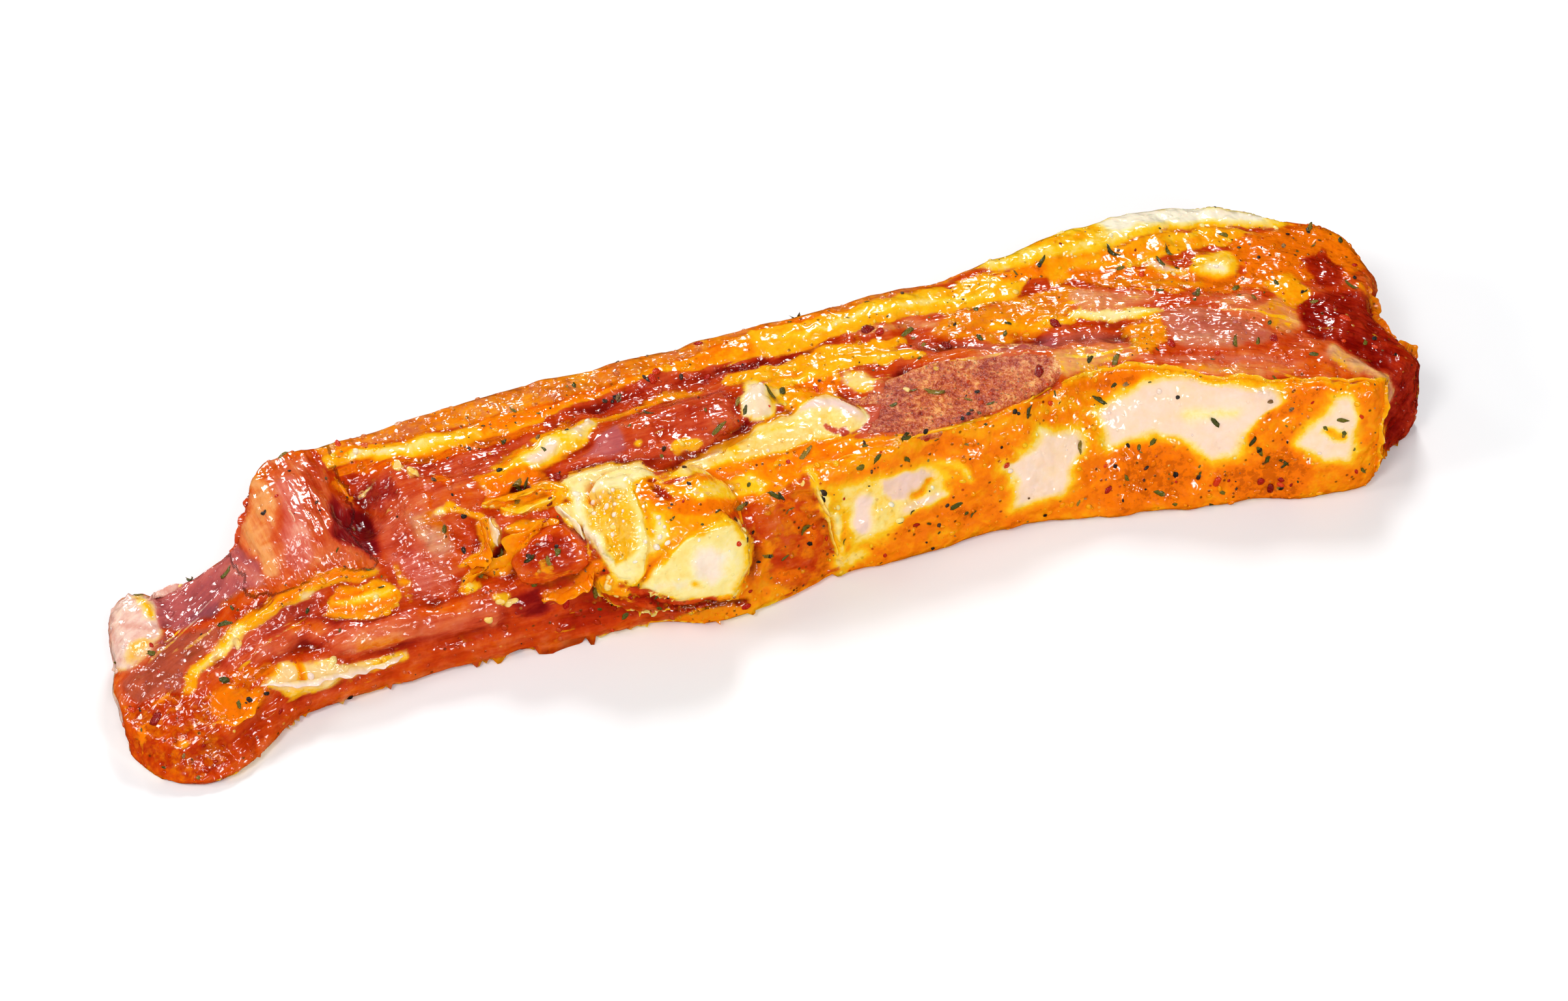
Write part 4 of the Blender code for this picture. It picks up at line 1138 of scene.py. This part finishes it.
def grainTemplate(subdivisions, segments):
    # a unit ball as arrays
    if segments:
        bpy.ops.mesh.primitive_uv_sphere_add(segments=segments, ring_count=5, radius=1)
    else:
        bpy.ops.mesh.primitive_ico_sphere_add(subdivisions=subdivisions, radius=1)
    ball = bpy.context.object
    points = np.array([v.co[:] for v in ball.data.vertices])
    faces = sorted(tuple(p.vertices) for p in ball.data.polygons)      # else their order changes by chance
    bpy.data.objects.remove(ball)
    return points, faces


# What the small things share where their own settings don't say: radius is the least and the greatest
# in mm, fewLarge makes large ones rarer, and rough, curl and tilt say how uneven they are
anyGrain = {"subdivisions": 1, "segments": 0, "fewLarge": 1.6, "placedSize": 1.0, "wide": 1.0,
            "tilt": 0.0, "curl": 0.0, "lumpy": 0.0, "lumpSize": 0.9, "faceted": 0, "paint": None}


def strew(name, skin, spots, own, placed=0):
    # many small bodies laid on the skin, as one mesh; the placed ones come first and are larger
    settings = {**anyGrain, **own}
    rng = np.random.default_rng(settings["seed"])
    points, faces = grainTemplate(settings["subdivisions"], settings["segments"])
    low, high = settings["radius"]
    size = low * (high / low) ** (rng.random(len(spots)) ** settings["fewLarge"])
    size[:placed] = high * settings["placedSize"] * (0.7 + 0.3 * rng.random(placed))
    normals, co = skin["normals"][spots], skin["co"][spots]
    spin = rng.normal(size=(len(spots), 3))
    along = np.cross(normals, spin)
    along /= np.linalg.norm(along, axis=1)[:, None]
    tilt = settings["tilt"] * rng.normal(size=(len(spots), 1))
    up = normals + tilt * along
    up /= np.linalg.norm(up, axis=1)[:, None]
    along = np.cross(up, spin)
    along /= np.linalg.norm(along, axis=1)[:, None]
    across = np.cross(up, along)
    stretch = 1 + (settings["length"] - 1) * rng.random(len(spots))
    shape = np.array([settings["wide"], 1.0, settings["thick"]])
    same = np.ones_like(stretch)
    body = points[None] * shape * np.stack([stretch, same, same], 1)[:, None]
    body *= 1 + settings["rough"] * rng.normal(size=(len(spots), len(points), 1))
    body[..., 2] += settings["curl"] * rng.normal(size=(len(spots), 1)) * body[..., 0] ** 2
    body *= size[:, None, None]
    solid = (body[..., :1] * along[:, None] + body[..., 1:2] * across[:, None]
             + body[..., 2:] * up[:, None] + co[:, None]
             + (settings["lift"] * size)[:, None, None] * up[:, None]).reshape(-1, 3)
    if settings["lumpy"]:
        outward = (solid.reshape(len(spots), -1, 3) - co[:, None]).reshape(-1, 3)
        rise = settings["lumpy"] * lumps(solid, settings["lumpSize"], settings["seed"])
        solid += outward * rise[:, None]
    solid[:, 2] = np.maximum(solid[:, 2], 0.0)
    order = np.arange(len(spots)) * len(points)
    allFaces = [tuple(corner + start for corner in face) for start in order for face in faces]
    mesh = bpy.data.meshes.new(name)
    mesh.from_pydata(solid * mm, [], allFaces)
    piece = newPiece(name, mesh)
    for channel in paintNames:
        values = skin[channel][spots] + settings.get(channel, 0.0)
        if settings["paint"]:
            values = np.full(len(spots), settings["paint"].get(channel, 0.0))
        storePaint(piece, channel, np.repeat(values, len(points)))
    storePaint(piece, "grain", np.repeat(skin["grain"][spots], len(points), 0))
    storePaint(piece, "tone", np.repeat(rng.random(len(spots)), len(points)))
    activate(piece)
    bpy.ops.object.shade_smooth()
    if settings["faceted"]:
        bpy.ops.object.shade_smooth_by_angle(angle=math.radians(settings["faceted"]))
    print(name + ":", len(spots), "bodies,", len(allFaces), "faces")
    return piece


drops = {"seed": 61, "spotSeed": 71, "amount": 2500, "segments": 8, "radius": (0.16, 0.62),
         "fewLarge": 2.2, "length": 1.6, "thick": 0.62, "rough": 0.03, "lift": 0.0, "marinade": -0.12}

herbs = {"seed": 62, "spotSeed": 72, "amount": 210, "subdivisions": 2, "radius": (0.16, 0.60),
         "length": 2.6, "wide": 1.5, "thick": 0.2, "rough": 0.18, "lift": 0.12, "curl": 0.12,
         "tilt": 0.14, "placedSize": 0.85, "roughness": 0.3,
         "colours": [(0.0, 0.20, 0.20, 0.02), (0.4, 0.32, 0.33, 0.04), (0.75, 0.44, 0.40, 0.06),
                     (1.0, 0.58, 0.46, 0.12)]}
herbPlaces = readPoints(
    "-101 62, -125 39, -118.5 38, -121.6 26.6, -134.9 24.4, -35.3 37.8, -23.4 40.6, -17.7 45.9, 55 -8, "
    "51 60.3, 65.3 57.8, 75.6 54.4, 88.4 55, -79 34.6, -10.9 29.4, 49.1 33, 38.1 47.6, 19.4 51.9, "
    "77.4 27.9, 81.4 26.7, 8.6 27, 19.9 27.4, 46.9 22.9, 50.9 25.4, 87.5 2.9, 86.2 -0.1, 64.8 11, "
    "48.1 -1.9, 69.6 1.7, 21.1 47.5, 96.9 32.4, 101.4 19.7, 38.5 13.4, 1.5 24.1, 58.9 -5.4, 51.8 10, "
    "-63.1 40, -26.1 21.1, -71.7 24.9, -66.4 22.6, -60.7 23.4, -48.3 4.2, -25.4 8.4, -17 12.6, -71 24.9")

pepper = {"seed": 63, "spotSeed": 73, "amount": 300, "subdivisions": 2, "radius": (0.12, 0.50),
          "length": 1.9, "thick": 0.5, "rough": 0.14, "lift": 0.15, "tilt": 0.3, "faceted": 35,
          "placedSize": 0.95, "roughness": 0.4,
          "colours": [(0.0, 0.07, 0.05, 0.03), (0.6, 0.16, 0.10, 0.05), (0.85, 0.36, 0.22, 0.10),
                      (1.0, 0.66, 0.50, 0.28)]}
pepperPlaces = readPoints(
    "-74.7 36.6, -40 53.8, -39.2 54.4, -38.4 53.6, -41 54.2, -30.6 57, -31.4 56.4, -66 23, -61 23.8, "
    "-11 18.8, -11.4 17.8, -10.6 19.6, 42.5 7, 46.9 11, 47.8 5, 52 1.3, 69.7 1.9, 76.9 11.6, 53 25, "
    "-26 15, -16.3 13, -25.6 8.8, -17.5 8.8, 8.4 27, 20.6 27.5, 23 29, 30.6 26, 24 28, 22 28.2, 103 20, "
    "107 36, 98 48, 92 47, 56 -1, 61 19")

chilli = {"seed": 64, "spotSeed": 74, "amount": 90, "subdivisions": 2, "radius": (0.22, 0.7),
          "length": 1.8, "wide": 1.1, "thick": 0.4, "rough": 0.10, "lift": 0.15, "tilt": 0.2,
          "placedSize": 1.3, "roughness": 0.2,
          "colours": [(0.0, 0.50, 0.04, 0.02), (0.5, 0.76, 0.10, 0.02), (1.0, 0.92, 0.26, 0.04)]}
chilliPlaces = readPoints(
    "12.4 54.6, 14.4 53.6, 25 45.6, 16.2 22.2, 84.7 26, 66.5 -5.8, 67.4 -7.4, 100.6 26.8, 39 33.6, "
    "-3 32.6, -29.6 58, -31 56.8, -55.4 39.6, -63.6 11, -138.4 10.4, 47 44")


# Ragged lips and torn shreds: path in plan mm, how high, how thick, lean sideways, and the paint
frills = []


def frill(path, **shape):
    frills.append({"path": readPoints(path), **shape})


frill("100.2 9.4, 95.4 1.6, 91.8 -3.8, 88.6 -10",
      high=1, thick=0.9, lean=-0.3, fat=1, pale=0.1, marinade=0.34)
frill("-8 25.6, 5 26.2, 18 26.4, 30 26.6, 43 29.6, 50 30.2, 57 28.8, 65 24.4, 70 20.6, 75 18.9, 80 16, "
      "85 15, 93 12, 99 9.8", high=0.7, thick=0.7, lean=0.3, fat=1, pale=0.1, marinade=0.36)
frill("-11 25, -11.4 19, -12.6 12, -13.4 6, -14 2",
      high=0.7, thick=0.9, lean=0.5, fat=1, pale=0.3, marinade=0.26)
frill("-72.2 34.6, -72.2 31.6, -72.2 29, -73.8 26.6, -77.6 25.2",
      high=2.2, thick=1.1, lean=0.5, fat=0.9, pale=0.1, marinade=0.58)
frill("-70.8 34, -70.6 30.4, -71 27.6", high=1.2, thick=0.8, lean=0.4, fat=1, pale=0.6, marinade=0.12)
frill("-80 19.8, -77.6 21.8, -74 23, -70.6 22.8, -68.4 24.8, -66.4 27.4, -62.6 29.4, -58.6 28.8",
      high=1.6, thick=0.9, lean=0.6, fat=1, pale=0.1, marinade=0.5)
frill("-70 37.6, -66 37.6, -62 37.4, -58 38.2, -55 36.4",
      high=1.5, thick=1.6, lean=-0.4, fat=1, pale=0.2, marinade=0.42)
frill("-67.4 35.4, -64 34.4, -60 34.4, -56.6 35",
      high=1.1, thick=1.5, lean=-0.4, fat=1, pale=0.3, marinade=0.3)
frill("-67 13.6, -63.6 12.4, -60 13.2, -57.4 15.2, -55.2 17.2",
      high=1.7, thick=1.1, lean=-0.7, fat=0.8, pale=0.2, marinade=0.6)
frill("-58.4 33, -57.2 30.6, -56 27.4, -55.6 24",
      high=1.2, thick=0.9, lean=0.3, fat=1, pale=0.5, marinade=0.12)
frill("-119 11.4, -115.6 10.4, -110 9.4, -104 9, -98 8.8, -93.4 9.2",
      high=1, thick=1.2, lean=-0.6, fat=1, pale=0.8, marinade=0.1)
frill("-129.6 7, -126.4 5, -123 6.2, -120.6 8.4", high=1, thick=1, lean=-0.5, fat=1, pale=0.1, marinade=0.6)
frill("-117.6 43, -115 46.6, -113 50.4, -112.6 55",
      high=0.8, thick=0.9, lean=0.3, fat=0.1, pale=0.4, dark=0.4, marinade=0.3)
frill("107.8 33.4, 108.2 28, 107.6 22, 108 18.6",
      high=1, thick=1, lean=0.2, fat=0.5, pale=0.1, dark=0.4, marinade=0.5)
frill("110.6 18, 111.6 14.6, 112 11.6",
      high=1.1, thick=1.1, lean=0.2, fat=0.5, pale=0.1, dark=0.4, marinade=0.5)
frill("-93.6 52.8, -93.8 50.4, -92.6 47", high=0.9, thick=0.7, lean=-0.4, fat=0.6, pale=0.1, marinade=0.55)
frill("-133.4 36.4, -130.8 39.2, -128 41.6",
      high=1, thick=1, lean=0, fat=0.5, pale=0.85, dark=0.2, marinade=0.02)


tornEdges = {
    "seed": 90,
    "step": 0.7,                  # mm between stations along a path
    "fewest": 6,
    "stray": 0.35,                # how far the path wanders, in mm
    "taper": (0.02, 0.98, 0.4),   # how far into a half wave the ends are cut, and its power
    "ragged": 0.45,
    "limits": (0.25, 1.9),
    "subdivisions": 2,
    "unevenness": [(0.16, 1.3, 51), (0.12, 0.7, 52)],     # height, size, seed
    "thinner": 0.12,              # how much less marinade there is at the top
    # the outline across an edge: share of its height, share of half its thickness
    "section": [(-0.7, -1.0), (0.0, -1.0), (0.5, -0.75), (0.85, -0.5), (1.0, 0.0), (0.85, 0.45),
                (0.5, 0.8), (0.0, 1.0), (-0.7, 1.0)],
}


def frillMesh(skin, shape, seed):
    # one ragged fin standing on the skin along its path, as points, faces and share of height
    rng = np.random.default_rng(seed)
    knots = np.array(shape["path"], float)
    runs = np.r_[0, np.cumsum(np.hypot(*np.diff(knots, axis=0).T))]
    amount = max(int(runs[-1] / tornEdges["step"]), tornEdges["fewest"])
    stations = np.linspace(0, runs[-1], amount)
    path = np.stack([np.interp(stations, runs, knots[:, axis]) for axis in (0, 1)], 1)
    path += tornEdges["stray"] * rng.normal(size=path.shape)
    spots = spotsAt(skin, path)
    base, normals = skin["co"][spots].copy(), skin["normals"][spots].copy()
    for _ in range(3):
        for rows in (base, normals):
            rows[1:-1] = 0.25 * rows[:-2] + 0.5 * rows[1:-1] + 0.25 * rows[2:]
    normals /= np.linalg.norm(normals, axis=1)[:, None]
    along = np.gradient(base, axis=0)
    along /= np.linalg.norm(along, axis=1)[:, None] + 1e-9
    side = np.cross(normals, along)
    first, last, power = tornEdges["taper"]
    ends = np.sin(np.pi * np.linspace(first, last, amount)) ** power
    notches = np.interp(stations, stations[::2], rng.normal(size=len(stations[::2])))
    tall = shape["high"] * ends * (1 + tornEdges["ragged"] * notches).clip(*tornEdges["limits"])
    thick = shape["thick"] * ends * 0.5
    points, share = [], []
    for k in range(amount):
        for up, out in tornEdges["section"]:
            risen = max(up, 0)
            height = up * tall[k] if up > 0 else up
            sideways = out * thick[k] * (1 - 0.5 * risen) + shape["lean"] * tall[k] * risen ** 1.5
            points.append(base[k] + normals[k] * height + side[k] * sideways)
            share.append(risen)
    n = len(tornEdges["section"])
    faces = [(k * n + j, k * n + (j + 1) % n, (k + 1) * n + (j + 1) % n, (k + 1) * n + j)
             for k in range(amount - 1) for j in range(n)]
    faces += [tuple(range(n))[::-1], tuple((amount - 1) * n + j for j in range(n))]
    return np.array(points), faces, np.array(share), skin["grain"][spots].repeat(n, 0)


def makeFrills(skin):
    points, faces, channels, grain = [], [], {name: [] for name in paintNames}, []
    for number, shape in enumerate(frills):
        co, quads, share, along = frillMesh(skin, shape, tornEdges["seed"] + number)
        start = sum(len(part) for part in points)
        faces += [tuple(corner + start for corner in face) for face in quads]
        points.append(co)
        grain.append(along)
        for name in paintNames:
            value = shape.get(name, bareFlesh.get(name, 0.0))
            less = tornEdges["thinner"] * share if name == "marinade" else 0
            channels[name].append(np.full(len(co), value) - less)
    mesh = bpy.data.meshes.new("tornEdges")
    mesh.from_pydata(np.concatenate(points) * mm, [], faces)
    piece = newPiece("tornEdges", mesh)
    for name in paintNames:
        storePaint(piece, name, np.concatenate(channels[name]))
    storePaint(piece, "grain", np.concatenate(grain))
    editAll(piece, bpy.ops.mesh.normals_make_consistent, inside=False)
    subdivide = piece.modifiers.new("subdivide", "SUBSURF")
    subdivide.levels = tornEdges["subdivisions"]
    bpy.ops.object.modifier_apply(modifier="subdivide")
    bpy.ops.object.shade_smooth()
    co, normals = meshPoints(piece), meshNormals(piece)
    rise = sum(height * lumps(co, size, seed) for height, size, seed in tornEdges["unevenness"])
    movePoints(piece, co + normals * rise[:, None])
    print("torn edges:", len(piece.data.polygons), "faces")
    return piece


fatBits = {"seed": 65, "subdivisions": 3, "radius": (0.5, 1.1), "fewLarge": 1.0, "length": 1.7,
           "thick": 0.6, "rough": 0.0, "lift": 0.0, "tilt": 0.2, "lumpy": 0.8,
           "paint": {"fat": 0.8, "pale": 0.7, "marinade": 0.14, "dark": 0.2, "wet": 0.6}}
fatBitPlaces = readPoints(
    "-74 15.6, -72.8 14.6, -77.2 11.6, -55 12.4, -79.7 49.7, -82 52, -128.8 41.4, -54.4 13.6, "
    "-69.4 37.6, -54.6 9.6, -13.2 22.6, 13.4 37.8, 13 29.4, -120.4 22, -106 12")

# pale bubbles in the pool, set where white glints show: real beads that are also painted highlights
bubbles = {"seed": 66, "subdivisions": 2, "radius": (0.22, 0.62), "fewLarge": 1.2, "length": 1.5,
           "thick": 0.7, "rough": 0.04, "lift": 0.15,
           "paint": {"fat": 1.0, "pale": 0.72, "marinade": 0.0, "wet": 0.2}}
glintBubblePlaces = readPoints(
    "-51.6 33.6, -50.2 34.2, -48.6 33.4, -47 33, -49.6 32.2, -51.2 31.4, -48 31.6, -46.6 31.2, "
    "-50.6 30.2, -49.2 29.8, -51.8 29, -47.6 29.6, -50.2 28.2, -48.6 27.4, -46.8 27.8, -51 26.6, "
    "-49.4 25.2, -47.4 25.4, -50.4 23.2, -48.4 22.6, -50 20.8, -41.2 23.9, -40.8 21.5, -43.2 21.1, "
    "-45.2 19.3, -44 17.6, -41.8 17.8, -42.4 19.4, -41.6 22.6")


def grainFinish(name, settings):
    f = Finish(name, {"Subsurface Weight": 0.05, "Subsurface Scale": 0.001,
                      "Coat Weight": 0.3, "Coat Roughness": 0.08})
    speckle = f.noise(f.place, 2600, 3.0, 0.6)
    f.feed("Base Color", f.ramp(f.painted("tone") + speckle * 0.6, settings["colours"]))
    f.feed("Roughness", settings["roughness"] + speckle * 0.3)
    f.feed("Normal", f.bump(speckle, 0.0004))
    return f.material


# Drops gather where marinade is thick or pooled and the flesh is wet, spice where marinade is thick
scatter = {"anyDrops": 0.15, "pooled": 0.3, "leastWet": 0.04, "anySpice": 0.04, "spicePower": 1.5}


def scatterAll(skin, fleshMaterial):
    film = np.clip(skin["marinade"], 0, 1)
    wet = scatter["anyDrops"] + film + scatter["pooled"] * skin["hollow"].clip(0, 1)
    wet = wet * skin["wet"].clip(scatter["leastWet"], 1)
    spicy = scatter["anySpice"] + film ** scatter["spicePower"]
    spots = spotsAnywhere(skin, drops["amount"], wet, drops["spotSeed"])
    finishPiece(strew("drops", skin, spots, drops), fleshMaterial)
    finishPiece(strew("fatBits", skin, spotsAt(skin, fatBitPlaces), fatBits), fleshMaterial)
    finishPiece(strew("bubbles", skin, spotsAt(skin, glintBubblePlaces), bubbles), fleshMaterial)
    finishPiece(makeFrills(skin), fleshMaterial)
    for name, finish, settings, places in (
            ("herbs", "herbFlakes", herbs, herbPlaces),
            ("pepperGrains", "crackedPepper", pepper, pepperPlaces),
            ("chilliPieces", "chilliBits", chilli, chilliPlaces)):
        anywhere = spotsAnywhere(skin, settings["amount"], spicy, settings["spotSeed"])
        spots = np.concatenate([spotsAt(skin, places), anywhere])
        piece = strew(name, skin, spots, settings, len(places))
        finishPiece(piece, grainFinish(finish, settings))


# making it all

bpy.ops.object.select_all(action="DESELECT")
addCamera()
addLamps()
addFloor()
print("stage is set")

fleshMaterial = fleshFinish()
belly = makeFlesh()
rib = makeInsert("rib_bone", "ribFace", bone)
block = makeInsert("rib_cartilage", "cartilageBlock", cartilage, cutFaces)
finishPiece(belly, fleshMaterial, "marinated_flesh", "meat_slice")
finishPiece(rib, boneFinish(), "sawn_bone", "rib_bone")
finishPiece(block, fleshMaterial, "cartilage", "rib_cartilage")
scatterAll(skinOf(belly, rib, block), fleshMaterial)
